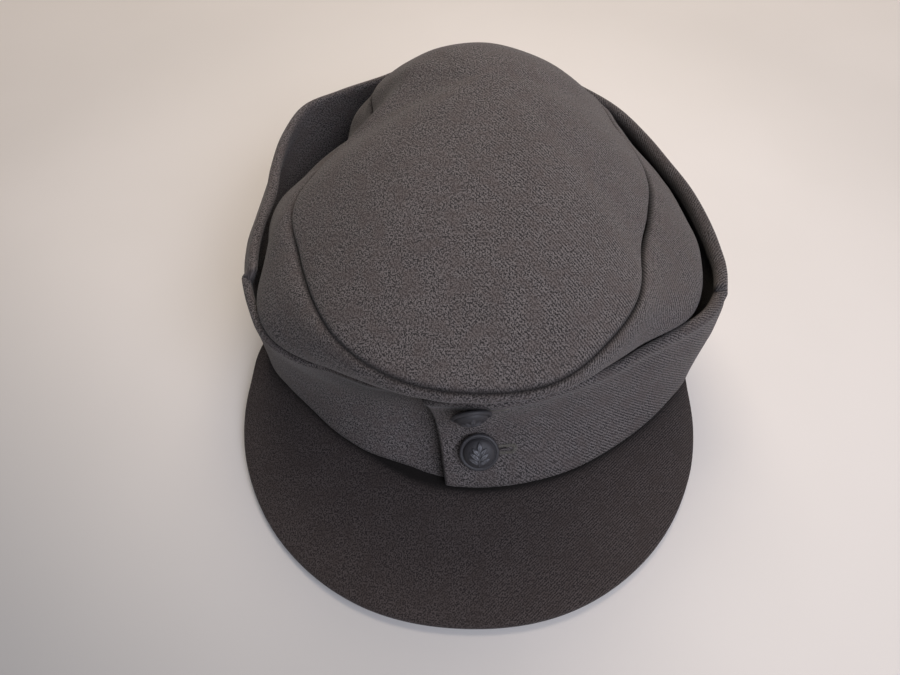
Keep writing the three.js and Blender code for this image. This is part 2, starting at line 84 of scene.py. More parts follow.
# Flap
FLAP_TALL = 60.0  # usual length from the foot to the lip
FLAP_RADIUS = 97.0  # how far out the weave is measured round the flap
FACE_SHARES = (0.25, 0.55, 0.8)  # heights of the face's middle knots
NOTCH = 68.0  # turn of the notch on each side
LAP_FROM, LAP_TO = -5.5, 14.0  # turns of the buttoned end's foot and of the hidden end
LAP_RADIUS = 96.0  # how far out these ends are
LAP_LEAN, LEAN_OVER = 7.0, 20.0  # how far the buttoned end leans, and the turn that takes it up
LAP_EASE, LAP_AIR = 14.0, 0.45  # how gently the hidden end goes under, and the air between
EDGE_SHORT, HIDDEN_SHORT = 0.05, 0.16  # what the hidden end lacks at the foot, first and last
HIDDEN_TURN = 4.0  # the turn between these
TAB_LIFT = 1.0  # how far the buttoned end stands proud
LIP_SWELL_AT, LIP_FOLD_AT, LIP_FOLD = 2.6, 3.2, 2.7  # the fold at the lip, outside and inside
HEM_GAP = 0.5  # air between the rim and the foot behind
FOOT_TUCK, FOOT_TUCK_WIDE = 1.4, 2.6  # how far the foot draws in over the visor

# Visor
VISOR_RUN = 58.0  # usual length from the rim to the outer edge
VISOR_ROOT = 0.2  # how far the visor starts above the rim
VISOR_X = -2.4  # how far the outer edge sits towards +X
VISOR_END = 72.0  # turn of the visor's ends
VISOR_END_RADIUS = 100.0  # how far out they are
VISOR_SWELL, SWELL_FULL = 0.8, 40.0  # how far the visor crowns, and the reach at which it does

# Buttons and their slits
SEATS = {  # turn, height, and how far a button tips down and to the side
    "button_upper": (-1.3, 51.6, 7.0, 10.0),
    "button_lower": (1.2, 28.5, 0.0, 0.0),
}
BUTTON_LIFT = 1.9  # how far a button stands off the flap
SHANK_R = 1.4
SLIT_REACH, SLIT_BEFORE, SLIT_WIDE = 13.5, 1.0, 0.9  # length, the part before the button, width

# Random dents of each piece: their width, seed and depth
SIDE_DENTS = ((34, 3, 0.45), (14, 8, 0.12))
TOP_DENTS = ((42, 21, 0.4), (16, 5, 0.1))
FLAP_DENTS = ((30, 11, 0.4), (13, 2, 0.1))
VISOR_DENTS = ((40, 17, 0.15),)
# Puckers along the seam: waves to a radian, how far these sway and how often, depth, and where
SIDE_PUCKERS = (37, 2.0, 5, 0.16, 5.0, 3.5)
TOP_PUCKERS = (31, 1.5, 7, 0.12, 4.0, 3.0)

# Painted shade from 0 to 1 that darkens the cloth's colour where cloth lies against cloth or deep
# in shadow, and how far it reaches
SEAM_DARK_WIDE, SEAM_SHADE_LESS = 1.15, 0.6
RIDGE, RIDGE_SHADE = (-41, 23), 0.28  # a point of the ridge, and the painted shade behind it
BEHIND_FLAP_DARK = 0.9
FOOT_DARK, FOOT_DARK_TALL = 0.9, 1.3
LAP_DARK, LAP_DARK_WIDE = 0.95, 2.0
FOLD_SHADE = 0.55
TAB_LIP_DARK, TAB_LIP_TALL = 0.9, 1.8
INSIDE_DARK, LIP_SHADE = 0.95, 0.45
ROOT_DARK, ROOT_DARK_WIDE, ROOT_SHADE, ROOT_SHADE_WIDE = 0.85, 1.6, 0.12, 8.0


def rows(names, *numbers):
    """A table as one column of numbers for each name."""
    return {name: np.array([row[k] for row in numbers], float) for k, name in enumerate(names)}


# The crown at each turn: the section of its side from the rim to the seam, then how the top panel
# falls, where on the way it folds, and the share of its fall that comes past the fold
CROWN = rows(
    (
        "turn rim_z waist_r waist_z neck_r neck_z bulge_r bulge_z puff seam_r seam_z fall fold step"
    ).split(),
    (0, 17, 83, 37, 83.4, 56.5, 98, 71.6, 1.8, 100, 79.5, 2, 0.95, 0),
    (15, 16.7, 83, 37, 82.9, 56.5, 96.6, 71.4, 2, 98.3, 79.5, 2, 0.95, 0),
    (30, 15.6, 84.5, 37, 85.3, 56.5, 92, 67, 2.2, 90, 80, 2, 0.95, 0),
    (45, 13.8, 87, 37, 87.6, 55, 90.6, 64, 2.2, 81.8, 80, 1.9, 0.95, 0),
    (60, 11.4, 89.5, 37, 93.5, 52, 97.2, 61, 2, 71, 80, 1.8, 0.95, 0),
    (75, 8.8, 89.5, 37, 92, 53, 92, 65, 1.5, 68.6, 80, 1.8, 0.95, 0),
    (90, 6.2, 88.8, 36, 88.5, 54, 86, 64, 1, 69, 80, 1.8, 0.95, 0),
    (105, 3.9, 89, 36, 87, 54, 82.5, 64, 0, 69.2, 79, 1.8, 0.95, 0),
    (120, 2, 89.8, 36, 86, 55, 79.5, 66, 0.8, 70.5, 77.5, 1.9, 0.95, 0),
    (135, 0.6, 91, 36, 87.5, 56, 82, 69, 1.5, 74.5, 80, 2.2, 0.95, 0),
    (150, 0, 92, 36, 90, 57, 85, 73, 1.5, 76.2, 83, 2.5, 0.9, 0),
    (180, 0, 93.5, 36, 91.5, 58, 87.5, 75, 1.5, 76, 87, 3, 0.65, 0),
    (205, 0, 92.5, 36, 91.5, 57, 87.5, 71.5, 1.2, 75, 87.5, 2.8, 0.62, 0.12),
    (215, 0.2, 92, 36, 91.3, 56, 87.5, 69, 0, 75.5, 85.5, 2, 0.6, 0.36),
    (225, 0.6, 91.5, 36, 89, 54, 84, 66, -2.5, 71, 83.5, 1.6, 0.61, 0.52),
    (232, 1.3, 90.5, 35, 83.5, 51, 76, 64, -1.5, 62, 82, 1.5, 0.7, 0.51),
    (240, 2, 89.8, 35, 84, 50, 76, 63.5, -1.5, 56.5, 80.5, 1.45, 0.81, 0.48),
    (255, 3.9, 89.2, 35, 86, 51, 79.5, 63.5, -1.5, 58, 81.5, 1.5, 0.93, 0.26),
    (263, 5, 89.2, 36, 87.8, 53, 83, 64, -0.5, 63, 82.4, 1.6, 0.95, 0.06),
    (270, 6.2, 89, 36, 89.5, 53, 86.4, 64.5, 0.5, 67.5, 82.5, 1.6, 0.95, 0),
    (285, 8.8, 89.7, 36, 92.5, 53, 91.5, 63.5, 2, 77, 81, 1.8, 0.95, 0),
    (300, 11.4, 91.5, 36, 97.2, 51, 99.9, 60.6, 2.6, 80, 80, 2, 0.95, 0),
    (308, 12.6, 91.5, 36.5, 97.6, 50, 101.2, 61.2, 2.4, 83, 79.7, 2, 0.95, 0),
    (315, 13.8, 89.5, 37, 94.8, 51, 99.8, 61.4, 2.3, 86.5, 79.5, 2, 0.95, 0),
    (330, 15.6, 84.5, 37, 87.1, 55, 95.6, 65.6, 2.2, 94.7, 79.3, 2, 0.95, 0),
    (345, 16.7, 83, 37, 84, 56.5, 96.6, 70.6, 2.2, 99.3, 79.3, 2, 0.95, 0),
)

# The flap at each turn: radius at the foot, at three heights and at the lip, and the heights of
# the foot and the lip. The rear part starts and ends beyond the notches.
FLAP_NAMES = "turn foot low mid high lip foot_z lip_z".split()
FLAP_FRONT = rows(
    FLAP_NAMES,
    (-68, 101, 104, 103.3, 102.5, 101.4, 11.5, 61.5),
    (-60, 103, 103, 102.5, 103, 103.2, 13, 59.5),
    (-52, 101.3, 101, 101, 102.6, 104.7, 14.4, 57.6),
    (-43, 100.8, 97.5, 96.5, 98.7, 101.3, 16, 56.6),
    (-34, 102, 96.3, 93, 94, 96.2, 17.2, 58.8),
    (-24, 103.4, 95.4, 90.6, 91.3, 93.7, 18.5, 58.8),
    (-10, 107.4, 94.8, 89.6, 89.7, 91.5, 19.7, 57.5),
    (0, 108.2, 94.8, 89.6, 89.8, 91.4, 19.8, 57.5),
    (10, 107.6, 95, 89.6, 89.6, 90.9, 19.6, 57.5),
    (22, 106.4, 95.2, 89.8, 88.8, 89.8, 18.7, 57.5),
    (34, 104.8, 96.2, 91.5, 89.8, 90.5, 17.2, 57.5),
    (44, 104.6, 98, 94.2, 92, 92, 15.8, 58),
    (54, 105, 102.2, 100, 98.2, 97.6, 14.2, 59.5),
    (61, 105.8, 105.2, 104.6, 103.6, 102.8, 12.8, 61),
    (68, 104, 106.6, 107, 106.3, 104.6, 11.5, 62),
)
FLAP_REAR = rows(
    FLAP_NAMES,
    (68, 104, 106.6, 107.2, 106.6, 103.4, 11.5, 64.5),
    (74, 95.6, 102.2, 105.2, 104.8, 101.6, 9.8, 64.7),
    (80, 93.7, 99, 102, 101.6, 98.7, 8.2, 65),
    (90, 94, 95.8, 97.8, 97.3, 94.4, 6.5, 66),
    (100, 93.8, 95, 96.2, 94.7, 91, 4.9, 67),
    (110, 94.3, 95.2, 95.5, 92.8, 88.3, 3.5, 68),
    (122, 95.3, 95.8, 95.8, 93.2, 88.4, 2, 69),
    (135, 96.6, 96.8, 96.6, 94, 89.6, 0.9, 71),
    (150, 97.7, 97.8, 97.4, 95, 91, 0.3, 72.5),
    (165, 98.3, 98.4, 98, 96.8, 94.8, 0.3, 75.5),
    (180, 98.6, 98.8, 98.6, 98, 96.8, 0.3, 78),
    (195, 98.3, 98.7, 98.8, 98, 95.8, 0.3, 76.5),
    (210, 97.7, 98.3, 98.8, 98, 94, 0.3, 73),
    (224, 96.6, 98, 99.5, 100.3, 98.9, 0.9, 71),
    (234, 95.7, 98, 100.3, 102.4, 103.6, 1.7, 70),
    (244, 94.9, 97.3, 99.8, 101.6, 100.2, 2.8, 68.5),
    (255, 94.2, 96.5, 98.8, 99.3, 94.8, 4.2, 67),
    (266, 93.9, 96.3, 98.5, 98.6, 90.4, 5.8, 66),
    (278, 94.6, 97.5, 99.5, 99.8, 92.8, 8, 65.5),
    (292, 101, 104, 103.3, 102, 97.3, 11.5, 65),
)
# One half of the visor's outer edge
VISOR_HALF = rows(
    ("turn", "reach", "edge_z"),
    (0, 155.2, 0.6),
    (15, 153.4, 0.4),
    (30, 145.2, 0),
    (45, 131.8, 0),
    (55, 120.6, 1),
    (62, 111.6, 3.2),
    (67, 106, 5.4),
    (71, 100, 7.2),
    (74, 94.5, 8.4),
)


def all_round(table):
    """The same table once more on each side, so that it reads smoothly across the back."""
    return {
        name: np.concatenate([v - 360, v, v + 360] if name == "turn" else [v, v, v])
        for name, v in table.items()
    }


def mirrored(table):
    """A table for one side, with its mirror image in front."""
    return {
        name: np.concatenate([-v[:0:-1] if name == "turn" else v[:0:-1], v])
        for name, v in table.items()
    }


CROWN = all_round(CROWN)
VISOR = mirrored(VISOR_HALF)


def smoothstep(x, low, high):
    t = np.clip((x - low) / (high - low), 0, 1)
    return t * t * (3 - 2 * t)


def hump(x, middle, wide):
    """A smooth hump from 0 to 1, highest at the middle."""
    return np.exp(-(((x - middle) / wide) ** 2))


def wrap(turn):
    return turn - 360 * np.floor((turn + 180) / 360)


def near_turn(turn, at, wide):
    """A smooth hump from 0 to 1 on the way round the head, highest at one turn."""
    return hump(wrap(turn), at, wide)


def eased(a, b, start, end, t):
    """A smooth curve from a to b as t goes from 0 to 1, with these slopes at its start and end."""
    rise = t * t * (3 - 2 * t)
    return a * (1 - rise) + b * rise + start * t * (1 - t) ** 2 + end * t * t * (t - 1)


def read(table, name, turn):
    """One column of a table at these turns, on a smooth curve through its rows."""
    knots, values = table["turn"], table[name]
    turn = np.asarray(turn, float)
    i = np.clip(np.searchsorted(knots, turn, side="left") - 1, 0, len(knots) - 2)
    every = np.arange(len(knots))
    before, after = np.maximum(every - 1, 0), np.minimum(every + 1, len(knots) - 1)
    slope = (values[after] - values[before]) / (knots[after] - knots[before])
    span = knots[i + 1] - knots[i]
    t = (turn - knots[i]) / span
    return eased(values[i], values[i + 1], slope[i] * span, slope[i + 1] * span, t)


def crown(name, turn):
    return read(CROWN, name, wrap(turn))


def visor(name, turn):
    return read(VISOR, name, turn)


def flap(name, turn):
    """The flap's column at a turn. Its front part steps over to its rear part past the notch."""
    near = wrap(turn)
    front = read(FLAP_FRONT, name, np.clip(near, -NOTCH, NOTCH))
    far = np.where(near < 0, near + 360, near)
    rear = read(FLAP_REAR, name, np.clip(far, NOTCH, 360 - NOTCH))
    return front + (rear - front) * smoothstep(np.abs(near), NOTCH, NOTCH + 0.8)


def rim_radius(turn):
    return 1 / np.hypot(np.sin(np.radians(turn)) / RIM_WIDE, np.cos(np.radians(turn)) / RIM_LONG)


def rim_height(turn):
    return np.maximum(0, crown("rim_z", turn))


def around(turn, r, z):
    a = np.radians(turn)
    return np.stack([r * np.sin(a), -r * np.cos(a), z * np.ones_like(r)], axis=-1)


# ---- Smooth lines and the points along them ----
def smooth_line(knots):
    """Many points on a smooth line through each row of knots, an array (rows, knots, 2)."""
    first = 2 * knots[:, :1] - knots[:, 1:2]
    last = 2 * knots[:, -1:] - knots[:, -2:-1]
    held = np.concatenate([first, knots, last], axis=1)
    reach = np.sqrt(np.linalg.norm(np.diff(held, axis=1), axis=2))[..., None]
    p0, p1, p2, p3 = held[:, :-3], held[:, 1:-2], held[:, 2:-1], held[:, 3:]
    d0, d1, d2 = reach[:, :-2], reach[:, 1:-1], reach[:, 2:]
    start = ((p1 - p0) / d0 - (p2 - p0) / (d0 + d1) + (p2 - p1) / d1) * d1
    end = ((p2 - p1) / d1 - (p3 - p1) / (d1 + d2) + (p3 - p2) / d2) * d1
    t = np.linspace(0, 1, 24, endpoint=False)[:, None]
    line = eased(*(v[:, :, None] for v in (p1, p2, start, end)), t)
    return np.concatenate([line.reshape(len(knots), -1, 2), knots[:, -1:]], axis=1)


def run_lengths(face):
    """Length along each column from its first point."""
    steps = np.linalg.norm(np.diff(face, axis=1), axis=2)
    return np.concatenate([np.zeros((len(face), 1)), np.cumsum(steps, axis=1)], axis=1)


def along(lines, shares):
    """Points at these shares of each line's length, one row of shares a line, and the lengths."""
    far = run_lengths(lines)
    picked = np.empty(shares.shape + (2,))
    for line, run, share, out in zip(lines, far, shares, picked):
        for k in (0, 1):
            out[:, k] = np.interp(share * run[-1], run, line[:, k])
    return picked, far[:, -1]


# ---- The outer faces ----
def side_face(turns, shares):
    """Side of the crown, from the rim (0) to the seam (1). Also gives each section's length."""
    waist, neck, bulge, seam = (
        np.stack([crown(name + "_r", turns), crown(name + "_z", turns)], axis=-1)
        for name in ("waist", "neck", "bulge", "seam")
    )
    chord = seam - bulge
    out = np.stack([chord[:, 1], -chord[:, 0]], axis=-1)
    out /= np.linalg.norm(out, axis=1, keepdims=True)
    brow = bulge + chord * BROW + out * crown("puff", turns)[:, None]
    rim = np.stack([rim_radius(turns), rim_height(turns)], axis=-1)
    lines = smooth_line(np.stack([rim, waist, neck, bulge, brow, seam], axis=1))
    picked, lengths = along(lines, np.tile(shares, (len(turns), 1)))
    return around(turns[:, None], picked[..., 0], picked[..., 1]), lengths


def top_face(turns, shares):
    """Top panel, from the summit (0) to the seam (1)."""
    seam = around(turns, crown("seam_r", turns), crown("seam_z", turns))[:, None]
    t = shares[None, :, None]
    tip = np.array(TIP)
    face = tip + (seam - tip) * t
    fall, fold, step = (crown(name, turns)[:, None] for name in ("fall", "fold", "step"))
    past = bent(t[..., 0], fold) / bent(1.0, fold)
    drop = (1 - step) * t[..., 0] ** fall + step * past
    face[..., 2] = tip[2] + (seam[..., 2] - tip[2]) * drop
    return face


def bent(t, fold):
    """0 before the fold, then a straight rise, with a tight bend between them."""
    return FOLD_BEND * np.log1p(np.exp((t - fold) / FOLD_BEND))


def flap_sections(turns):
    v = {name: flap(name, turns) for name in FLAP_NAMES if name != "turn"}
    tall = v["lip_z"] - v["foot_z"]
    heights = [0, *FACE_SHARES, 1]
    knots = [
        np.stack([v[name], v["foot_z"] + tall * share], axis=-1)
        for name, share in zip(("foot", "low", "mid", "high", "lip"), heights)
    ]
    return smooth_line(np.stack(knots, axis=1))


def leaned(turns, share):
    """The buttoned end's edge leans over, and the cloth behind it with it."""
    lean = LAP_LEAN * share * (1 - smoothstep(turns + 360, LAP_FROM, LAP_FROM + LEAN_OVER))
    return np.where(turns > -180, turns, turns - lean)


def tuck(turns):
    """How far the hidden end has gone under the buttoned one, from 0 to 1."""
    full = LAP_FROM - LAP_LEAN
    return np.where(turns > -180, smoothstep(turns, full - LAP_EASE, full), 0.0)


def cut_below(turns):
    """Share of the face that the hidden end leaves out at the foot."""
    deeper = smoothstep(turns, LAP_FROM, LAP_FROM + HIDDEN_TURN)
    short = EDGE_SHORT * tuck(turns) + (HIDDEN_SHORT - EDGE_SHORT) * deeper
    return np.where(turns > -180, short, 0.0)


def flap_face(turns, shares):
    """Outer face of the flap, from the foot (0) to the lip (1)."""
    short = cut_below(turns)
    face = np.empty((len(turns), len(shares), 3))
    for j, share in enumerate(shares):
        real = short + (1 - short) * share
        at = leaned(turns, real)
        picked, _ = along(flap_sections(at), real[:, None])
        face[:, j] = around(at, picked[:, 0, 0], picked[:, 0, 1])
    return face


def visor_section(turn, t, thickness):
    """The visor's inner and outer reach, and its upper face's height at share t between them."""
    inner, reach = rim_radius(turn) + GAP, visor("reach", turn)
    top = rim_height(turn) + thickness + VISOR_ROOT
    edge = np.maximum(0, visor("edge_z", turn)) + thickness
    swell = VISOR_SWELL * np.sin(np.pi * t) * np.minimum(1, (reach - inner) / SWELL_FULL)
    return inner, reach, top + (edge - top) * t + swell


def visor_face(turns, shares, thickness):
    """Upper face of the visor, from the rim (0) to its outer edge (1)."""
    turn, t = turns[:, None], shares[None, :]
    inner, reach, height = visor_section(turn, t, thickness)
    face = around(turn, inner + (reach - inner) * t, height)
    face[..., 0] += VISOR_X * t
    return face


def visor_height(x, y, thickness):
    """Height of the visor's upper face under a point, or far below where there is no visor."""
    t = np.full(np.shape(x), 0.3)
    for _ in range(4):
        turn = np.degrees(np.arctan2(x - VISOR_X * t, -y))
        r = np.hypot(x - VISOR_X * t, y)
        held = np.clip(turn, VISOR["turn"][0], VISOR["turn"][-1])
        inner, reach, _ = visor_section(held, t, thickness)
        free = (r - inner) / np.maximum(reach - inner, 1e-6)
        t = np.clip(free, 0, 1)
    height = visor_section(held, t, thickness)[2]
    there = (np.abs(turn) < VISOR_END + 1.5) & (r > inner - 1) & (free < 1)
    return np.where(there, height, -1e3)


# ---- Layers of cloth ----
def grid_normals(grid, closed):
    """Unit normals of a grid of points, along the cross product of its first and second ways."""
    if closed:
        held = np.concatenate([grid[-2:-1], grid, grid[1:2]])
        du = held[2:] - held[:-2]
    else:
        du = np.gradient(grid, axis=0)
    normal = np.cross(du, np.gradient(grid, axis=1))
    size = np.linalg.norm(normal, axis=2, keepdims=True)
    return normal / np.maximum(size, 1e-9)


def dents(points, *kinds):
    """Gentle unevenness of cloth in millimetres. A kind is its dents' width, seed and depth."""
    total = np.zeros(points.shape[:-1])
    for wide, seed, deep in kinds:
        dice = np.random.RandomState(seed)
        swell = np.zeros(points.shape[:-1])
        for _ in range(10):
            way = dice.normal(size=3)
            way *= 2 * math.pi / (wide * dice.uniform(0.8, 2.0) * np.linalg.norm(way))
            swell += np.sin(points @ way + dice.uniform(0, 2 * math.pi))
        total += swell / 4.5 * deep
    return total


def spaced(length, step, low=0.0, high=0.0):
    """Distances from 0 to length, closer where an edge rolls over, and how full the roll is."""
    angle = np.linspace(0, math.pi / 2, ROLL_ROWS)
    count = max(2, int(round((length - low - high) / step)) + 1)
    parts, full = [np.linspace(low, length - high, count)], [np.ones(count)]
    if low:
        parts.insert(0, low * (1 - np.cos(angle[:-1])))
        full.insert(0, np.sin(angle[:-1]))
    if high:
        parts.append(length - high * (1 - np.cos(angle[-2::-1])))
        full.append(np.sin(angle[-2::-1]))
    return np.concatenate(parts), np.concatenate(full)


def both_runs(outer, inner):
    """Length of cloth up the outside of a piece, then on over its edge and down the inside."""
    up, down = run_lengths(outer), run_lengths(inner)
    return up, up[:, -1:] + down[:, -1:] - down


def flat_ring(turns, outer, inner, radius):
    """Places on the flat cloth of the two faces of a piece that goes round the head, in metres."""
    across = np.radians(turns)[:, None] * radius * np.ones(outer.shape[1])
    return [np.stack([across, runs], axis=-1) * MM for runs in both_runs(outer, inner)]


def cloth_object(name, outer, inner, weaves, dark, slits=()):
    """One closed piece between two grids of points that meet along their open edges.

    The points are in millimetres. weaves gives each one's place on the flat cloth, outside and
    inside, for the pattern. dark is painted shade from 0 to 1 that darkens the colour, in the
    seam's bottom and where the cloth lies in shadow. A slit is (first column, last column, row):
    those cells are left open, with cloth down its inside.
    """
    n, m = outer.shape[:2]
    dark = np.broadcast_to(dark, (2, n, m))
    bm = bmesh.new()
    layer = bm.loops.layers.uv.new("weave")
    painted_shade_layer = bm.verts.layers.float.new("groove")
    mark = bm.faces.layers.int.new("slit")
    for flip, grid in enumerate((outer, inner)):
        made = bmesh.ops.create_grid(bm, x_segments=n - 1, y_segments=m - 1, size=0.5)["verts"]
        place = {}
        for v in made:
            i, j = round((v.co.x + 0.5) * (n - 1)), round((v.co.y + 0.5) * (m - 1))
            place[v] = (i, j)
            v.co = grid[i, j] * MM
            v[painted_shade_layer] = dark[flip, i, j]
        faces = {f for v in made for f in v.link_faces}
        for face in faces:
            for loop in face.loops:
                loop[layer].uv = weaves[flip][place[loop.vert]]
            i, j = (min(place[v][k] for v in face.verts) for k in (0, 1))
            for k, (first, last, row) in enumerate(slits):
                if first <= i < last and j == row:
                    face[mark] = k + 1
        if flip:
            bmesh.ops.reverse_faces(bm, faces=list(faces))
    bmesh.ops.remove_doubles(bm, verts=bm.verts, dist=2e-6)
    bmesh.ops.dissolve_degenerate(bm, dist=1e-7, edges=bm.edges)
    bmesh.ops.recalc_face_normals(bm, faces=bm.faces)
    for k in range(len(slits)):
        open_faces = [f for f in bm.faces if f[mark] == k + 1]
        bmesh.ops.delete(bm, geom=open_faces, context="FACES")
        bmesh.ops.bridge_loops(bm, edges=[e for e in bm.edges if e.is_boundary])
    return finished(name, bm)


def finished(name, bm):
    """An object at the origin from a bmesh in place."""
    mesh = bpy.data.meshes.new(name)
    bm.to_mesh(mesh)
    bm.free()
    mesh.shade_smooth()
    piece = bpy.data.objects.new(name, mesh)
    bpy.context.scene.collection.objects.link(piece)
    return piece


def fitted(piece, material, slot, *nodes):
    """Gives a piece its material and its body, and hides the parts it stands for."""
    piece.data.materials.clear()
    piece.data.materials.append(material)
    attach(piece, "root")
    if nodes:
        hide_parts(*nodes)
    return piece


# ---- Materials ----
class Value:
    """A number that varies over a surface. Sums and products of these add Math nodes."""

    def __init__(self, finish, socket):
        self.finish, self.socket = finish, socket

    def worked(self, operation, other=0.0, swapped=False):
        a, b = (other, self) if swapped else (self, other)
        return self.finish.node("ShaderNodeMath", {"operation": operation}, {0: a, 1: b})["Value"]

    def __add__(self, other):
        return self.worked("ADD", other)

    def __sub__(self, other):
        return self.worked("SUBTRACT", other)

    def __rsub__(self, other):
        return self.worked("SUBTRACT", other, True)

    def __mul__(self, other):
        return self.worked("MULTIPLY", other)

    def __truediv__(self, other):
        return self.worked("DIVIDE", other)

    __radd__ = __add__
    __rmul__ = __mul__

    def wave(self):
        """A smooth wave from 0 to 1 that repeats with every whole number."""
        return (self * (2 * math.pi)).worked("SINE") * 0.5 + 0.5

    def between(self, low, high):
        """0 below low, 1 above high, smooth from one to the other."""
        return self.finish.node(
            "ShaderNodeMapRange",
            {"interpolation_type": "SMOOTHSTEP"},
            {"Value": self, "From Min": low, "From Max": high},
        )["Result"]


class Finish:
    """One material and the nodes in it."""

    def __init__(self, name, **constants):
        self.material = bpy.data.materials.new(name)
        self.material.use_nodes = True
        self.tree = self.material.node_tree
        self.tree.nodes.clear()
        self.shader = self.tree.nodes.new("ShaderNodeBsdfPrincipled")
        out = self.tree.nodes.new("ShaderNodeOutputMaterial")
        self.tree.links.new(self.shader.outputs[0], out.inputs["Surface"])
        self.set(**constants)

    def node(self, kind, settings=None, sockets=None):
        """Adds a node with its settings, then its sockets' values or links. Gives its outputs."""
        made = self.tree.nodes.new(kind)
        for name, value in (settings or {}).items():
            setattr(made, name, value)
        for name, value in (sockets or {}).items():
            self.join(made, name, value)
        return {s.name: Value(self, s) for s in made.outputs if s.enabled}

    def join(self, node, name, value):
        named = [s for s in node.inputs if s.enabled and s.name == name]
        socket = node.inputs[name] if isinstance(name, int) else named[0]
        if isinstance(value, Value):
            self.tree.links.new(value.socket, socket)
        else:
            socket.default_value = value

    def set(self, **values):
        """Sets the shader's sockets, such as Base_Color or Roughness."""
        for name, value in values.items():
            self.join(self.shader, name.replace("_", " "), value)

    def mix(self, factor, a, b):
        """From colour a to colour b as the factor goes from 0 to 1."""
        a, b = ((*colour, 1) if isinstance(colour, tuple) else colour for colour in (a, b))
        settings = {"data_type": "RGBA", "clamp_factor": True}
        return self.node("ShaderNodeMix", settings, {"Factor": factor, "A": a, "B": b})["Result"]

    def noise(self, at, scale, detail=2.0, roughness=0.5):
        sockets = {"Vector": at, "Scale": scale, "Detail": detail, "Roughness": roughness}
        return self.node("ShaderNodeTexNoise", None, sockets)["Fac"]

    def bump(self, height, strength, distance, under=None):
        sockets = {"Height": height, "Strength": strength, "Distance": distance}
        if under is not None:
            sockets["Normal"] = under
        return self.node("ShaderNodeBump", None, sockets)["Normal"]

    def place(self):
        return self.node("ShaderNodeTexCoord")["Object"]

    def held(self, name):
        """What a piece's mesh holds at each point under this name."""
        return self.node("ShaderNodeAttribute", {"attribute_name": name})["Fac"]

    def x_and_y(self, vector):
        found = self.node("ShaderNodeSeparateXYZ", None, {"Vector": vector})
        return found["X"], found["Y"]

    def joined(self, x, y, z=0.0):
        return self.node("ShaderNodeCombineXYZ", None, {"X": x, "Y": y, "Z": z})["Vector"]


def dimmed(colour, *shares):
    """A colour with each of its three parts times its share."""
    return tuple(part * share for part, share in zip(colour, shares))


def twill(name, fibre_colours, pitch, contrast, ribs, rough):
    """Melange wool twill. Its ribs are pitch apart, and its yarns mix dark and light fibres."""
    f = Finish(name, Sheen_Weight=0.12, Sheen_Roughness=0.5, Specular_IOR_Level=0.25)
    dark, light, tint = fibre_colours
    flat = f.node("ShaderNodeUVMap", {"uv_map": "weave"})["UV"]
    u, v = f.x_and_y(flat)
    # Painted light: the ribs' colour contrast, and their bump, are stronger towards the wearer's
    # left, as under a raking light from that side.
    crisp = f.x_and_y(f.place())[0].between(-0.03, 0.07) * 1.3 + 0.25
    thread = pitch * math.sqrt(2) / 3
    wander = f.noise(flat, 110.0) - 0.5
    rib = ((u - v) / (3 * thread) + wander * 0.35).wave()
    long_stitch = (u / thread + v * (0.5 / thread)).wave()
    fibres = f.noise(f.joined(u * 1200.0, v * 750.0), 1.0, 2.0, 0.6)
    specks = f.noise(f.joined(u * 2100.0, v * 1700.0, 3.0), 1.0, 1.0)
    blotch = f.noise(flat, 55.0, 3.0, 0.55)
    yarn = (fibres - 0.5) * (0.35 * contrast) + (specks - 0.5) * (0.7 * contrast) + 0.5
    yarn = yarn + (rib - 0.5) * crisp * ribs + (blotch - 0.5) * 0.35
    colour = f.mix(yarn.between(-0.15, 1.15), dark, light)
    colour = f.mix(f.noise(flat, 140.0, 3.0, 0.6).between(0.4, 0.68) * 0.5, colour, tint)
    height = rib * crisp * 0.7 + long_stitch * 0.1 + fibres * 0.12 + specks * 0.25
    uneven = f.bump(f.noise(flat, 60.0, 3.0), 0.25, 0.0006)
    # Painted shade: the colour darkens to near black by the painted shade that each piece holds at
    # its points
    f.set(
        Base_Color=f.mix(f.held("groove") * 0.95, colour, dimmed(tint, 0.1, 0.1, 0.1)),
        Roughness=0.86 + fibres * 0.12,
        Normal=f.bump(height, rough, 0.0002, uneven),
    )
    return f.material


def sewing_thread(name, colour):
    """Twisted sewing thread."""
    f = Finish(name, Sheen_Weight=0.1, Specular_IOR_Level=0.3)
    strand = f.noise(f.place(), 2600.0)
    f.set(
        Base_Color=f.mix(strand.between(0.35, 0.65), dimmed(colour, 0.62, 0.62, 0.62), colour),
        Roughness=0.75 + strand * 0.2,
        Normal=f.bump(strand, 0.4, 0.0002),
    )
    return f.material


def worn_paint(name, paint, metal):
    """Painted metal. The paint is worn thin on what stands proud, and dull in the hollows."""
    f = Finish(name, Specular_IOR_Level=0.5)
    at, proud = f.place(), f.held("relief")
    grain, cloud = f.noise(at, 900.0, 3.0, 0.6), f.noise(at, 260.0)
    worn = (proud + (grain - 0.5) * 1.2).between(0.5, 1.2)
    grime = (1 - proud).between(0.45, 1.0) * cloud
    f.set(
        Base_Color=f.mix(grime * 0.4, f.mix(worn * 0.6, paint, metal), (0.03, 0.03, 0.033)),
        Metallic=0.15 + worn * 0.5,
        Roughness=0.5 - worn * 0.12 + grime * 0.2 + (grain - 0.5) * 0.16,
        Normal=f.bump(grain + cloud * 0.8, 0.4, 0.0003),
    )
    return f.material


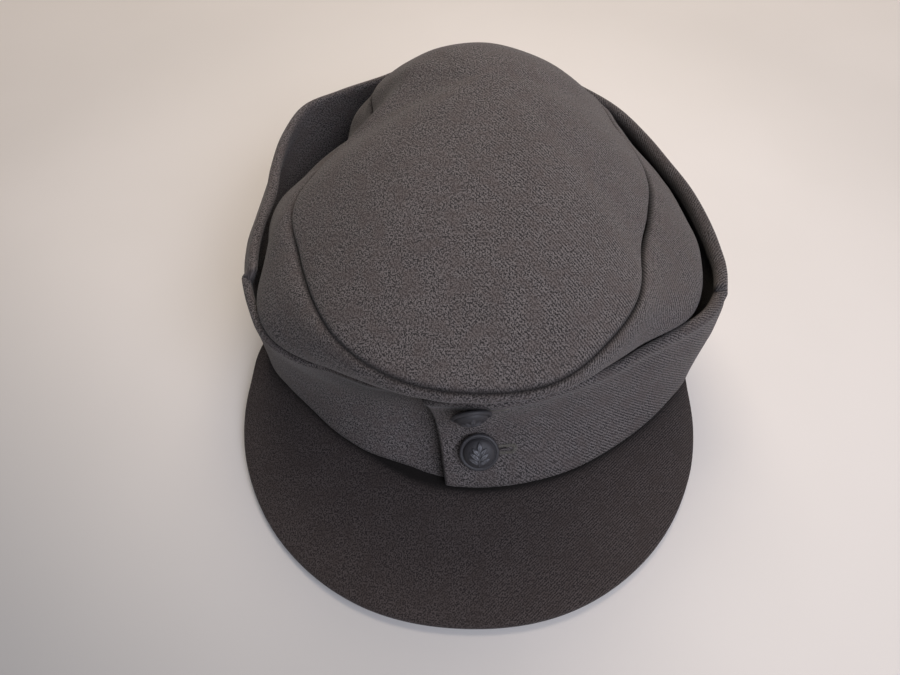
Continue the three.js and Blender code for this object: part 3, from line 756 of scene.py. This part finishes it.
def table_top(name, colour, wall):
    """A plain pale table top with a faint sheen, painted shade and a painted shadow, glowing like
    the wall far from the cap.
    """
    f = Finish(name, Specular_IOR_Level=0.35, Emission_Strength=1.0)
    at, black = f.place(), (0.0, 0.0, 0.0)
    cloud = f.noise(at, 7.0, 3.0)
    x, y = f.x_and_y(at)
    reach = x * x + y * y
    # Painted shade: up to 13 percent darker away from the cap. Painted shadow: about half as bright
    # towards the camera on the -X side
    around_cap, beyond = reach.between(0.02, 0.1), reach.between(0.2, 1.6)
    rear = (x * 0.6 + y).between(-0.34, -0.08)
    pale = f.mix(cloud.between(0.3, 0.7), dimmed(colour, 0.97, 0.97, 0.965), colour)
    near = f.mix(rear, dimmed(colour, 0.5, 0.53, 0.56), pale)
    f.set(
        Base_Color=f.mix(beyond, f.mix(around_cap * 0.13, near, black), black),
        Emission_Color=f.mix(beyond, black, wall),
        Roughness=0.5 + cloud * 0.12,
        Normal=f.bump(f.noise(at, 500.0), 0.03, 0.0005),
    )
    return f.material


def once(name, make, *values, **named):
    """The material of this name, made when it is first asked for."""
    return bpy.data.materials.get(name) or make(name, *values, **named)


# ---- What a user would change ----
def metres(name, description, default, low, high, precision=4):
    return FloatProperty(
        name=name, description=description, default=default, min=low, max=high,
        unit="LENGTH", precision=precision,
    )


def tone(name, description, *default):
    return FloatVectorProperty(
        name=name, description=description, default=default, subtype="COLOR", min=0, max=1
    )


def watts(name, description, default):
    return FloatProperty(
        name=name, description=description, default=default, min=0, max=500, subtype="POWER"
    )


def angle_of(name, description, default, low, high):
    return FloatProperty(
        name=name, description=description, default=default, min=low, max=high, subtype="ANGLE"
    )


class CapSizes(PropertyGroup):
    """Sizes of the cap's cloth, seams and buttons."""

    crown_cloth: metres(
        "Crown Cloth", "Outer cloth and lining of the crown together", 0.0022, 0.001, 0.004
    )
    flap_cloth: metres("Flap Cloth", "Two layers of cloth", 0.0028, 0.001, 0.004)
    visor_thick: metres("Visor", "Stiffener with cloth on both sides", 0.003, 0.002, 0.005)
    seam_roll: metres(
        "Seam Roll", "How wide the cloth rolls into the seam on each side", 0.0023, 0.0005, 0.003
    )
    lip_swell: metres(
        "Lip Swell", "How far the fold at the flap's upper edge stands proud", 0.0009, 0.0, 0.002
    )
    twill_pitch: metres(
        "Twill Pitch", "Distance between two diagonal ribs of the cloth", 0.0011, 0.0003, 0.002, 5
    )
    button_radius: metres("Button", "Radius of a button", 0.0077, 0.005, 0.01)


class CapColours(PropertyGroup):
    """Colours of the cap's cloth, thread and buttons."""

    cloth_dark: tone(
        "Cloth, Dark Fibres", "Darker fibres of the crown and flap", 0.0322, 0.0285, 0.0289
    )
    cloth_light: tone(
        "Cloth, Light Fibres", "Lighter fibres of the crown and flap", 0.2040, 0.1800, 0.1765
    )
    cloth_tint: tone(
        "Cloth, Tint", "Tinge that some places of the cloth take", 0.1102, 0.0880, 0.0830
    )
    visor_dark: tone("Visor, Dark Fibres", "Darker fibres of the visor", 0.0239, 0.0185, 0.0180)
    visor_light: tone("Visor, Light Fibres", "Lighter fibres of the visor", 0.0976, 0.0784, 0.0741)
    visor_tint: tone(
        "Visor, Tint", "Tinge that some places of the visor take", 0.0513, 0.0386, 0.0351
    )
    thread: tone("Thread", "Thread around the buttonholes", 0.25, 0.23, 0.2)
    button_paint: tone("Button Paint", "Paint on the buttons", 0.056, 0.053, 0.058)
    button_metal: tone("Button Metal", "Metal where the paint is worn", 0.27, 0.275, 0.3)


class StageSettings(PropertyGroup):
    """The table top, the light and the camera."""

    table: tone("Table", "Colour of the table top", 0.95, 0.903, 0.87)
    back_light: watts("Back Light", "Power of the warm soft light behind the cap", 10.2)
    front_light: watts("Front Light", "Power of the cool soft light in front of the cap", 3.6)
    side_light: watts("Side Light", "Power of the cool soft light at the front on the right", 7.3)
    near_light: watts("Near Light", "Power of the weak lamp close by on the right", 0.5)
    wall: tone("Wall", "Colour seen beyond the table", 0.5, 0.465, 0.44)
    room: FloatProperty(
        name="Room", description="Brightness of the light from all round",
        default=0.01, min=0, max=10,
    )
    camera_x: metres("Camera X", "Place of the camera across the cap", -0.0052, -2, 2)
    camera_y: metres("Camera Y", "Place of the camera before the cap", -0.2098, -2, 2)
    camera_z: metres("Camera Z", "Height of the camera above the table", 0.2681, 0, 2)
    camera_down: angle_of(
        "Camera Tilt", "How far the camera looks down from the horizon",
        math.radians(55), 0, math.pi / 2,
    )
    camera_side: angle_of(
        "Camera Turn", "How far the camera turns from straight ahead",
        math.radians(2), -math.pi, math.pi,
    )
    camera_view: angle_of(
        "Camera Field", "Width of the camera's field of view", math.radians(67.3019), 0.1, 2.5
    )


def sizes(name):
    """A size of the cap in millimetres."""
    return getattr(bpy.context.scene.cap_sizes, name) / MM


def colours(*names):
    return [tuple(getattr(bpy.context.scene.cap_colours, name)) for name in names]


def cloth_finish():
    fibres, pitch = colours("cloth_dark", "cloth_light", "cloth_tint"), sizes("twill_pitch") * MM
    return once("grey_wool_twill", twill, fibres, pitch, contrast=7.5, ribs=0.85, rough=0.8)


def visor_finish():
    """A darker twill than the cap's, with finer ribs."""
    fibres, pitch = colours("visor_dark", "visor_light", "visor_tint"), sizes("twill_pitch") * MM
    return once("visor_twill", twill, fibres, pitch * 0.8, contrast=7.0, ribs=0.8, rough=0.65)


# ---- What the cloth does at its seams and folds ----
def seam_dip(away, turn):
    """How far the cloth sinks beside the crown's seam, which is less in front."""
    return SEAM_DIP * (1 - SEAM_DIP_LESS * near_turn(turn, 0, 50)) * hump(away, 0, SEAM_DIP_WIDE)


def seam_dark(away, turn):
    """Painted shade in the bottom of the seam, with less of it on the wearer's right."""
    return hump(away, 0, SEAM_DARK_WIDE) * (1 - SEAM_SHADE_LESS * near_turn(turn, -75, 38))


def puckers(turn, away, count, sway, slow, deep, at, wide):
    """Small folds that a seam draws into the cloth, deepest at some distance from it."""
    a = np.radians(turn)
    return np.sin(a * count + sway * np.sin(a * slow)) * deep * hump(away, at, wide)


def back_seam(turn, per_degree):
    """How far the cloth sinks along the seam down the back, as a rise below 0."""
    return -BACK_DIP * hump(wrap(turn - 180) * per_degree, 0, BACK_WIDE)


def crown_layers(face, normals, away, rolled):
    """Outer and inner face of the crown's cloth, whose edge rolls down into the seam.

    rolled is how far the two draw together at the rim.
    """
    thick = sizes("crown_cloth")
    step = np.gradient(face, axis=1)
    step = step / np.maximum(np.linalg.norm(step, axis=2, keepdims=True), 1e-9)
    face = face - step * (GAP / 2 * smoothstep(-away, -6, 0))[..., None]
    near = np.clip(1 - away / sizes("seam_roll"), 0, 1)
    drop = thick * (1 - np.sqrt(1 - near**2)) + rolled
    return face - normals * drop[..., None], face - normals * (thick - rolled)[:, None]


def darkest(*shades):
    return np.max(np.broadcast_arrays(*shades), axis=0)


# ---- Operators, one for each piece or group of like pieces ----
class CAP_OT_crown_side(Operator):
    """Make the side of the crown, from the rim to the seam"""

    bl_idname = "cap.crown_side"
    bl_label = "Crown Side"

    def execute(self, context):
        edge = sizes("crown_cloth") / 2
        turns = np.linspace(-180, 180, CROWN_COLUMNS)
        usual = side_face(turns, np.linspace(0, 1, 40))[1].mean()
        low, full = spaced(usual - SEAM_FROM, 1.5, low=edge)
        runs = np.concatenate([low, usual - SEAM_ROWS])
        full = np.concatenate([full, np.ones(len(SEAM_ROWS))])
        face = side_face(turns, runs / usual)[0]
        turn, away, height = turns[:, None], (usual - runs)[None, :], face[..., 2]
        soft = smoothstep(away, 1, 10) * smoothstep(runs, 2, 18)[None, :]
        rise = dents(face, *SIDE_DENTS) * soft + puckers(turn, away, *SIDE_PUCKERS)
        rise = rise + back_seam(turn, 1.6) * smoothstep(away, 1, 4) - seam_dip(away, turn)
        for at, level, wide, tall, far in PUSHES:
            rise = rise + far * near_turn(turn, at, wide) * hump(height, level, tall)
        face = face + grid_normals(face, True) * rise[..., None]
        outer, inner = crown_layers(face, grid_normals(face, True), away, edge * (1 - full))
        a = math.radians(SIDE_LEAN)
        lean = np.array([(math.cos(a), -math.sin(a)), (math.sin(a), math.cos(a))])
        weaves = [flat @ lean for flat in flat_ring(turns, outer, inner, SIDE_RADIUS)]
        # Painted shade in the seam's bottom, and painted shadow on the side where the flap stands
        # before it
        behind_flap = near_turn(turn, -6, 36) * (1 - smoothstep(height, 58.5, 62.5))
        dark = darkest(seam_dark(away, turn), BEHIND_FLAP_DARK * behind_flap)
        piece = cloth_object("crown_side_cloth", outer, inner, weaves, dark)
        fitted(piece, cloth_finish(), "cloth", "crown_side")
        return {"FINISHED"}


def behind_ridge(face):
    """Painted shade in the hollow behind the ridge that runs to the rear on the wearer's right."""
    x, y = face[..., 0] - RIDGE[0], face[..., 1] - RIDGE[1]
    past, along_it = y * 0.673 - x * 0.74, x * 0.673 + y * 0.74
    near = smoothstep(past, -0.6, 1.8) * (1 - smoothstep(past, 6, 24))
    return RIDGE_SHADE * near * smoothstep(along_it, -22, -8) * (1 - smoothstep(along_it, 10, 27))


def top_normals(face):
    """Outward normals of the top panel, whose columns all start at the summit."""
    normals = -grid_normals(face, True)
    summit = normals[:, 1].mean(axis=0)
    normals[:, 0] = summit / np.linalg.norm(summit)
    return normals


class CAP_OT_crown_top(Operator):
    """Make the top panel of the crown, with its edge rolled into the seam"""

    bl_idname = "cap.crown_top"
    bl_label = "Crown Top"

    def execute(self, context):
        turns = np.linspace(-180, 180, CROWN_COLUMNS)
        runs = np.concatenate([np.linspace(0, TOP_RUN - SEAM_FROM, 55), TOP_RUN - SEAM_ROWS])
        face = top_face(turns, runs / TOP_RUN)
        lengths = run_lengths(face)
        turn, away = turns[:, None], lengths[:, -1:] - lengths
        soft = smoothstep(away, 1, 12) * smoothstep(lengths, 0, 8)
        rise = dents(face, *TOP_DENTS) * soft
        rise = rise + puckers(turn, away, *TOP_PUCKERS) - seam_dip(away, turn)
        face = face + top_normals(face) * rise[..., None]
        outer, inner = crown_layers(face, top_normals(face), away, np.zeros(len(runs)))
        way = face[..., :2] - face[:, :1, :2]
        way = way / np.maximum(np.linalg.norm(way, axis=2, keepdims=True), 1e-6) * (1, -1)
        weaves = [way * runs[..., None] * MM for runs in both_runs(outer, inner)]
        # Painted shade in the seam's bottom and behind the ridge
        dark = darkest(seam_dark(away, turn), behind_ridge(face))
        piece = cloth_object("crown_top_cloth", outer, inner, weaves, dark)
        fitted(piece, cloth_finish(), "cloth", "crown_top")
        return {"FINISHED"}


def flap_turns(roll):
    """Turns of the flap's columns, from the hidden end round the back to the buttoned end.

    They are closer where an end rolls over and at the notches. Also gives how full the roll is.
    """
    angle = np.linspace(0, math.pi / 2, ROLL_ROWS)
    first, last, bend = LAP_TO, LAP_FROM - 360, 1 - np.cos(angle)
    inner = np.arange(first - roll - 0.9, last + roll + 0.5, -1.0)
    for notch, way in ((-NOTCH, -1), (NOTCH - 360, 1)):
        inner = inner[np.abs(inner - notch - way * 0.4) > 1.0]
        inner = np.concatenate([inner, notch + way * np.linspace(-0.3, 1.1, 8)])
    turns = np.concatenate([first - roll * bend, -np.sort(-inner), last + roll * bend[::-1]])
    return turns, np.concatenate([np.sin(angle), np.ones(len(inner)), np.sin(angle)[::-1]])


def flap_runs(thick, slit_runs):
    """Distances up the flap, with a row on each side of each slit, and how full the roll is."""
    runs, full = spaced(FLAP_TALL, 1.3, low=thick / 2, high=thick / 2 + 0.3)
    for at in slit_runs:
        kept = np.abs(runs - at) > 0.8
        runs = np.concatenate([runs[kept], at + np.array([-0.5, 0.5]) * SLIT_WIDE])
        full = np.concatenate([full[kept], [1, 1]])
        order = np.argsort(runs)
        runs, full = runs[order], full[order]
    return runs, full


def flap_foot(inner, turn, below):
    """How far the foot draws in over the visor in front, and its inside to the rim behind."""
    behind = smoothstep(np.abs(wrap(turn)), NOTCH, NOTCH + 6)
    tuck_in = FOOT_TUCK * np.clip(1 - below / FOOT_TUCK_WIDE, 0, 1) ** 2 * (1 - behind)
    reach = np.hypot(inner[..., 0], inner[..., 1]) - rim_radius(turn) - HEM_GAP
    return tuck_in, np.maximum(reach, 0) * behind * (1 - smoothstep(below, 1, 6))


def flap_dark(face, turns, end_full, runs, below, above):
    """Painted shade and shadow that darken the flap's cloth, outside and inside, from 0 to 1."""
    turn, height = turns[:, None], face[..., 2]
    foot = FOOT_DARK * np.exp(-below / FOOT_DARK_TALL)
    end = np.where(turns < -180, np.sqrt(1 - end_full), 0)[:, None]
    left = np.maximum(LAP_FROM - LAP_LEAN * runs[None, :] / FLAP_TALL - turn, 0)
    lapped = LAP_DARK * np.exp(-left / LAP_DARK_WIDE) * (turn > -40) * (turn < 20)
    fold = FOLD_SHADE * smoothstep(turn, -46, -26) * (turn < 0) * smoothstep(height, 38, 54)
    tab_lip = TAB_LIP_DARK * np.exp(-above / TAB_LIP_TALL) * near_turn(turn, -5, 9)
    side = near_turn(turn, 105, 38)
    lip = LIP_SHADE * side * np.exp(-above)
    behind = INSIDE_DARK * side * smoothstep(above, -0.8, 1.2)
    behind_tab = INSIDE_DARK * near_turn(turn, -8, 40) * (1 - smoothstep(above, 10, 16))
    outside = darkest(foot, end, lapped, fold, tab_lip, lip)
    return np.stack([outside, darkest(foot, end, lapped, behind, behind_tab)])


class CAP_OT_ear_flap(Operator):
    """Make the turned-up flap, with its fold at the top and its two ends lapped at the front"""

    bl_idname = "cap.ear_flap"
    bl_label = "Ear Flap"

    def execute(self, context):
        thick = sizes("flap_cloth")
        turns, end_full = flap_turns(np.degrees(thick / 2 / LAP_RADIUS))
        seats = [button_seat(*place)[0] for place in SEATS.values()]
        slit_runs = [slit_run(at) for at in seats]
        runs, full = flap_runs(thick, slit_runs)
        turn, rolled = turns[:, None], full[None, :] * end_full[:, None]
        face = flap_face(turns, runs / FLAP_TALL)
        normals = -grid_normals(face, False)
        face = face - normals * ((thick + LAP_AIR) * tuck(turns))[:, None, None]
        below = run_lengths(face)
        above = below[:, -1:] - below
        soft = smoothstep(below, 2, 12) * smoothstep(above, 1, 9)
        soft = soft * (0.35 + 0.65 * smoothstep(np.abs(wrap(turn)), 14, 34))
        rise = dents(face, *FLAP_DENTS) * soft + back_seam(turn, 1.7)
        face = face + normals * rise[..., None]
        normals = -grid_normals(face, False)
        swell = sizes("lip_swell") * hump(above, LIP_SWELL_AT, 2.6)
        swell = swell * (1 - 0.8 * near_turn(turn, -40, 30))
        sides = near_turn(turn, 100, 42) + 0.4 * near_turn(turn, -97, 30)
        fold = LIP_FOLD * hump(above, LIP_FOLD_AT, 4) * sides
        lift = TAB_LIFT * smoothstep(turn, -359.5, -365)
        middle = face - normals * (thick / 2 - lift)[..., None]
        outer = middle + normals * (rolled * (thick / 2 + swell))[..., None]
        inner = middle - normals * (rolled * (thick / 2 + fold))[..., None]
        out = face * (1, 1, 0) / np.hypot(face[..., 0], face[..., 1])[..., None]
        foot, hem = flap_foot(inner, turn, below)
        outer = outer - out * foot[..., None]
        inner = inner - out * (foot + hem * full)[..., None]
        visor_thick = sizes("visor_thick")
        for grid in (outer, inner):
            rest = visor_height(grid[..., 0], grid[..., 1], visor_thick) + GAP
            grid[..., 2] = np.maximum(grid[..., 2], rest)
        slits = []
        for at, run in zip(seats, slit_runs):
            row = int(np.searchsorted(runs, run)) - 1
            past = outer[:, row, 0] - at.x + SLIT_BEFORE
            open_here = (past > 0) & (past < SLIT_REACH) & (turns < -180) & (outer[:, row, 1] < 0)
            columns = np.nonzero(open_here)[0]
            slits.append((columns[0], columns[-1], row))
        weaves = flat_ring(-turns, outer, inner, FLAP_RADIUS)
        dark = flap_dark(face, turns, end_full, runs, below, above)
        piece = cloth_object("ear_flap_cloth", outer, inner, weaves, dark, slits)
        fitted(piece, cloth_finish(), "cloth", "ear_flap")
        return {"FINISHED"}


class CAP_OT_visor(Operator):
    """Make the visor, a stiffener with cloth wrapped round its edge"""

    bl_idname = "cap.visor"
    bl_label = "Visor"

    def execute(self, context):
        thick = sizes("visor_thick")
        roll = np.degrees(thick / 2 / VISOR_END_RADIUS)
        turns, end_full = spaced(2 * VISOR_END, 0.9, low=roll, high=roll)
        turns = turns - VISOR_END
        runs, full = spaced(VISOR_RUN, 1.2, low=thick / 2, high=thick / 2)
        face = visor_face(turns, runs / VISOR_RUN, thick)
        soft = smoothstep(runs, 3, 14) * smoothstep(VISOR_RUN - runs, 2, 12)
        normals = -grid_normals(face, False)
        face = face + normals * (dents(face, *VISOR_DENTS) * soft)[..., None]
        half = (thick / 2 * full[None, :] * end_full[:, None])[..., None]
        middle = face - normals * (thick / 2)
        outer, inner = middle + normals * half, middle - normals * half
        way = face[:, -1:, :2] - face[:, :1, :2]
        way = way / np.linalg.norm(way, axis=2, keepdims=True)
        weaves = [
            (face[:, :1, :2] + way * runs[..., None]) * MM for runs in both_runs(outer, inner)
        ]
        # Painted shadow on the visor beside the flap's foot, dark close to it and faint further out
        past = np.hypot(face[..., 0], face[..., 1]) - (flap("foot", turns) - FOOT_TUCK)[:, None]
        past = np.maximum(past, 0)
        dark = ROOT_DARK * np.exp(-past / ROOT_DARK_WIDE)
        dark = dark + ROOT_SHADE * np.exp(-past / ROOT_SHADE_WIDE)
        piece = cloth_object("visor_cloth_cover", outer, inner, weaves, dark)
        fitted(piece, visor_finish(), "visor_cloth", "peak")
        return {"FINISHED"}


# ---- Buttons and buttonholes ----
def flap_section(turn):
    """Points up the flap's outer face at one turn."""
    picked, _ = along(flap_sections(np.array([float(turn)])), np.linspace(0, 1, 61)[None, :])
    return around(float(turn), picked[0, :, 0], picked[0, :, 1])


def button_seat(turn, height, down, side):
    """Where a button sits on the flap, then its own ways across, up and out.

    It tips down and to the side by so many degrees.
    """
    here, beside = flap_section(turn), flap_section(turn + 1)
    j = max(1, int(np.argmax(here[:, 2] >= height)))
    along_way = Vector(beside[j] - here[j]).normalized()
    up = Vector(here[j + 1] - here[j - 1]).normalized()
    face = along_way.cross(up).normalized()
    face = Quaternion(along_way, math.radians(down)) @ face
    face = Quaternion(up, math.radians(side)) @ face
    across = Vector((0, 0, 1)).cross(face).normalized()
    return Vector(here[j]), across, face.cross(across), face


def slit_run(at):
    """How far up the flap the slit of a button at this place is, on cloth of the usual height."""
    line = flap_section(math.degrees(math.atan2(at.x, -at.y)))
    run = run_lengths(line[None])[0]
    return float(np.interp(at.z, line[:, 2], run / run[-1])) * FLAP_TALL


def on_flap(x, z):
    """The point of the flap's outer face at this place across and this height, with its normal."""
    turn = 0.0
    for _ in range(3):
        line = flap_section(turn)
        r = np.interp(z, line[:, 2], np.hypot(line[:, 0], line[:, 1]))
        turn = math.degrees(math.asin(x / r))
    here = around(turn, r, z)
    line = flap_section(turn)
    above = np.interp(z + 1, line[:, 2], np.hypot(line[:, 0], line[:, 1]))
    up = Vector(around(turn, above, z + 1) - here)
    side = Vector(around(turn + 1, r, z) - here)
    return Vector(here), side.cross(up).normalized()


def set_down(at, *ways):
    """The matrix that puts a small shape down at a place, along three ways, and makes it metres."""
    turn = Matrix(ways).transposed().to_4x4()
    return Matrix.Scale(MM, 4) @ Matrix.Translation(at) @ turn


def leaf(x, y, root, lean, length, width):
    """Height of one leaf from 0 to 1, lower along its middle."""
    dx, dy = x - root[0], y - root[1]
    a, b = dx * math.cos(lean) + dy * math.sin(lean), dy * math.cos(lean) - dx * math.sin(lean)
    t = a / length
    if not 0 < t < 1:
        return 0.0
    half = width * math.sin(math.pi * t**0.8)
    if half < 1e-6 or abs(b) >= half:
        return 0.0
    body = (1 - (b / half) ** 2) ** 0.5
    return body * (0.55 + 0.45 * min(1.0, abs(b) / 0.22))


def sprig(x, y):
    """Height from 0 to 1 of a small sprig of leaves, at a point of the button's face."""
    best = 0.75 * max(0.0, 1 - (x / 0.4) ** 2) if -5.2 < y < 2.2 else 0.0
    for k, (root, reach) in enumerate(((-4.0, 4.9), (-2.1, 4.8), (-0.1, 4.1))):
        for side in (-1, 1):
            lean = math.pi / 2 - side * math.radians(56 - 7 * k)
            best = max(best, leaf(x, y, (0.12 * side, root), lean, reach, 1.05))
    return max(best, leaf(x, y, (0, 1.3), math.pi / 2, 4.2, 1.05))


BUTTON_DRAWN = 7.7  # radius at which the numbers for the button hold
BUTTON_RIM = (  # radius and height, from the back to the foot of the dome
    (6.7, 0), (7.3, 0.12), (7.6, 0.45), (7.7, 0.9), (7.6, 1.3),
    (7.3, 1.62), (6.95, 1.74), (6.6, 1.66), (6.35, 1.52), (6.18, 1.47),
)  # fmt: skip
RIM_CREST = 7.15
DOME_RADIUS, DOME_FOOT, DOME_RISE = 6.1, 1.55, 2.65
RELIEF_RADIUS, RELIEF_FOOT, RELIEF_RISE = 6.0, 1.6, 0.45


def button_outline(radius):
    """Radius and height of a button's section, from its shank's end to the top of its dome."""
    back = -BUTTON_LIFT - sizes("flap_cloth") + 0.1
    line = [(0, back), (SHANK_R, back), (SHANK_R, 0), *BUTTON_RIM]
    for a in np.linspace(0, math.pi / 2, 56)[1:]:
        line.append((DOME_RADIUS * math.cos(a), DOME_FOOT + DOME_RISE * math.sin(a)))
    line[-1] = (0, line[-1][1])
    return [(r * radius / BUTTON_DRAWN, z) for r, z in line]


def raise_relief(bm, radius):
    """Raises the sprig on the dome, and notes how proud each point stands, for the paint."""
    relief = bm.verts.layers.float.new("relief")
    for v in bm.verts:
        r = math.hypot(v.co.x, v.co.y)
        if v.co.z > RELIEF_FOOT and r < RELIEF_RADIUS:
            rise = sprig(v.co.x * BUTTON_DRAWN / radius, v.co.y * BUTTON_DRAWN / radius)
            rise *= min(1.0, (RELIEF_RADIUS - r) / 0.8)
            v[relief] = 0.3 + 0.7 * rise
            v.co.z += RELIEF_RISE * rise
        elif v.co.z > 0.8:
            off = (r - RIM_CREST * radius / BUTTON_DRAWN) / 0.5
            v[relief] = 0.3 + 0.3 * max(0.0, 1 - off**2)


class CAP_OT_buttons(Operator):
    """Make the two domed metal buttons, with a raised rim and a sprig of leaves"""

    bl_idname = "cap.buttons"
    bl_label = "Buttons"

    def execute(self, context):
        radius = sizes("button_radius")
        look = once("worn_button_paint", worn_paint, *colours("button_paint", "button_metal"))
        for name, place in SEATS.items():
            at, *ways = button_seat(*place)
            bm = bmesh.new()
            ends = [bm.verts.new((r, 0, z)) for r, z in button_outline(radius)]
            for a, b in zip(ends, ends[1:]):
                bm.edges.new((a, b))
            bmesh.ops.spin(
                bm, geom=bm.verts[:] + bm.edges[:], cent=(0, 0, 0), axis=(0, 0, 1),
                angle=2 * math.pi, steps=144, use_merge=True,
            )  # fmt: skip
            bmesh.ops.remove_doubles(bm, verts=bm.verts, dist=1e-4)
            bmesh.ops.recalc_face_normals(bm, faces=bm.faces)
            raise_relief(bm, radius)
            matrix = set_down(at + ways[2] * BUTTON_LIFT, *ways)
            bmesh.ops.transform(bm, matrix=matrix, verts=bm.verts)
            fitted(finished(name + "_metal", bm), look, "button_metal", name)
        return {"FINISHED"}


STITCHES, STITCH_STEP, FANNED = 28, 0.42, 11  # stitches along each side, and round the end
SLIT_START = 1.0  # distance of the first stitches from the button's middle
THREAD_WIDE, THREAD_TALL, THREAD_LIFT = 0.2, 0.22, 0.12


def stitches():
    """Each stitch's place along and above its slit, its angle, and half of its length."""
    for k in range(STITCHES):
        for side in (-1, 1):
            yield SLIT_START + k * STITCH_STEP, side * 1.45, 90.0, 0.85
    end = SLIT_START + STITCHES * STITCH_STEP
    for lean in np.linspace(-90, 90, FANNED):
        a = math.radians(lean)
        yield end + 1.5 * math.cos(a), 1.5 * math.sin(a), lean, 1.0


class CAP_OT_buttonholes(Operator):
    """Make the stitches round the buttonholes, close along the slit and fanned round its end"""

    bl_idname = "cap.buttonholes"
    bl_label = "Buttonhole Stitches"

    def execute(self, context):
        look = once("sewing_thread", sewing_thread, *colours("thread"))
        for name, place in SEATS.items():
            at, across, up, _ = button_seat(*place)
            bm = bmesh.new()
            for run, rise, lean, half in stitches():
                spot = at + across * run + up * rise
                here, normal = on_flap(spot.x, spot.z)
                a = math.radians(lean)
                lie = (across * math.cos(a) + up * math.sin(a)).normalized()
                side = normal.cross(lie).normalized()
                size = Matrix.Diagonal((half, THREAD_WIDE, THREAD_TALL, 1))
                matrix = set_down(here + normal * THREAD_LIFT, lie, side, normal) @ size
                bmesh.ops.create_uvsphere(
                    bm, u_segments=6, v_segments=4, radius=1.0, matrix=matrix
                )
            hole = name.replace("button", "buttonhole") + "_stitches"
            fitted(finished(hole, bm), look, "cloth")
        return {"FINISHED"}


# ---- Stage ----
LIGHTS = {  # place, width and colour
    "back_light": ((0, 0.8, 1), 0.9, (1, 0.88, 0.75)),
    "front_light": ((0.15, -0.95, 0.9), 0.8, (0.87, 0.92, 1)),
    "side_light": ((0.7, -0.7, 0.9), 0.8, (0.83, 0.86, 1)),
    "near_light": ((0.5, 0.1, 0.6), 0.5, (1, 0.92, 0.85)),
}
LIT = (0, 0, 0.03)  # where the lights aim
TABLE_HALF = 6.0


def soft_light(name, strength, at, size, colour):
    lamp = bpy.data.lights.new(name, "AREA")
    lamp.energy, lamp.size, lamp.color = strength, size, colour
    light = bpy.data.objects.new(name, lamp)
    bpy.context.scene.collection.objects.link(light)
    light.location = at
    light.rotation_euler = (Vector(LIT) - Vector(at)).to_track_quat("-Z", "Y").to_euler()


def room(brightness, wall):
    """A world that lights evenly and weakly, and shows the camera a plain wall."""
    world = bpy.data.worlds.new("room")
    world.use_nodes = True
    nodes, links = world.node_tree.nodes, world.node_tree.links
    sky, plain = nodes["Background"], nodes.new("ShaderNodeBackground")
    sky.inputs["Color"].default_value = (1.0, 0.95, 0.99, 1)
    sky.inputs["Strength"].default_value = brightness
    plain.inputs["Color"].default_value = (*wall, 1)
    seen, both = nodes.new("ShaderNodeLightPath"), nodes.new("ShaderNodeMixShader")
    links.new(seen.outputs["Is Camera Ray"], both.inputs[0])
    links.new(sky.outputs[0], both.inputs[1])
    links.new(plain.outputs[0], both.inputs[2])
    links.new(both.outputs[0], nodes["World Output"].inputs["Surface"])
    return world


class CAP_OT_stage(Operator):
    """Make the table top, the soft light and the camera"""

    bl_idname = "cap.stage"
    bl_label = "Stage"

    def execute(self, context):
        scene, settings = context.scene, context.scene.cap_stage
        wall = tuple(settings.wall)
        bm = bmesh.new()
        bmesh.ops.create_grid(bm, x_segments=2, y_segments=2, size=TABLE_HALF)
        table = finished("table_top", bm)
        table.data.materials.append(once("pale_table", table_top, tuple(settings.table), wall))
        scene.world = room(settings.room, wall)
        for name, (at, size, colour) in LIGHTS.items():
            soft_light(name, getattr(settings, name), at, size, colour)
        lens = bpy.data.cameras.new("camera")
        lens.sensor_fit, lens.sensor_width = "HORIZONTAL", 36.0
        lens.lens = lens.sensor_width / 2 / math.tan(settings.camera_view / 2)
        lens.clip_start, lens.clip_end = 0.01, 50
        camera = bpy.data.objects.new("camera", lens)
        scene.collection.objects.link(camera)
        camera.location = (settings.camera_x, settings.camera_y, settings.camera_z)
        camera.rotation_euler = (math.pi / 2 - settings.camera_down, 0, settings.camera_side)
        scene.camera = camera
        scene.view_settings.view_transform = "Standard"
        return {"FINISHED"}


class CAP_PT_panel(Panel):
    """Lists the cap's pieces, sizes and colours"""

    bl_idname = "CAP_PT_panel"
    bl_label = "Peaked Field Cap"
    bl_space_type = "VIEW_3D"
    bl_region_type = "UI"
    bl_category = "Cap"

    def draw(self, context):
        for group in ("cap_sizes", "cap_colours", "cap_stage"):
            box = self.layout.box()
            held = getattr(context.scene, group)
            for name in held.__annotations__:
                box.prop(held, name)
        for operator in OPERATORS:
            self.layout.operator(operator.bl_idname)


GROUPS = {"cap_sizes": CapSizes, "cap_colours": CapColours, "cap_stage": StageSettings}
OPERATORS = (
    CAP_OT_stage,
    CAP_OT_crown_side,
    CAP_OT_crown_top,
    CAP_OT_visor,
    CAP_OT_ear_flap,
    CAP_OT_buttons,
    CAP_OT_buttonholes,
)


def register():
    for cls in (*GROUPS.values(), *OPERATORS, CAP_PT_panel):
        bpy.utils.register_class(cls)
    for name, cls in GROUPS.items():
        setattr(bpy.types.Scene, name, PointerProperty(type=cls))


def unregister():
    for name in GROUPS:
        delattr(bpy.types.Scene, name)
    for cls in reversed((*GROUPS.values(), *OPERATORS, CAP_PT_panel)):
        bpy.utils.unregister_class(cls)


def main():
    register()
    for operator in OPERATORS:
        group, name = operator.bl_idname.split(".")
        getattr(getattr(bpy.ops, group), name)()


if __name__ == "__main__":
    main()
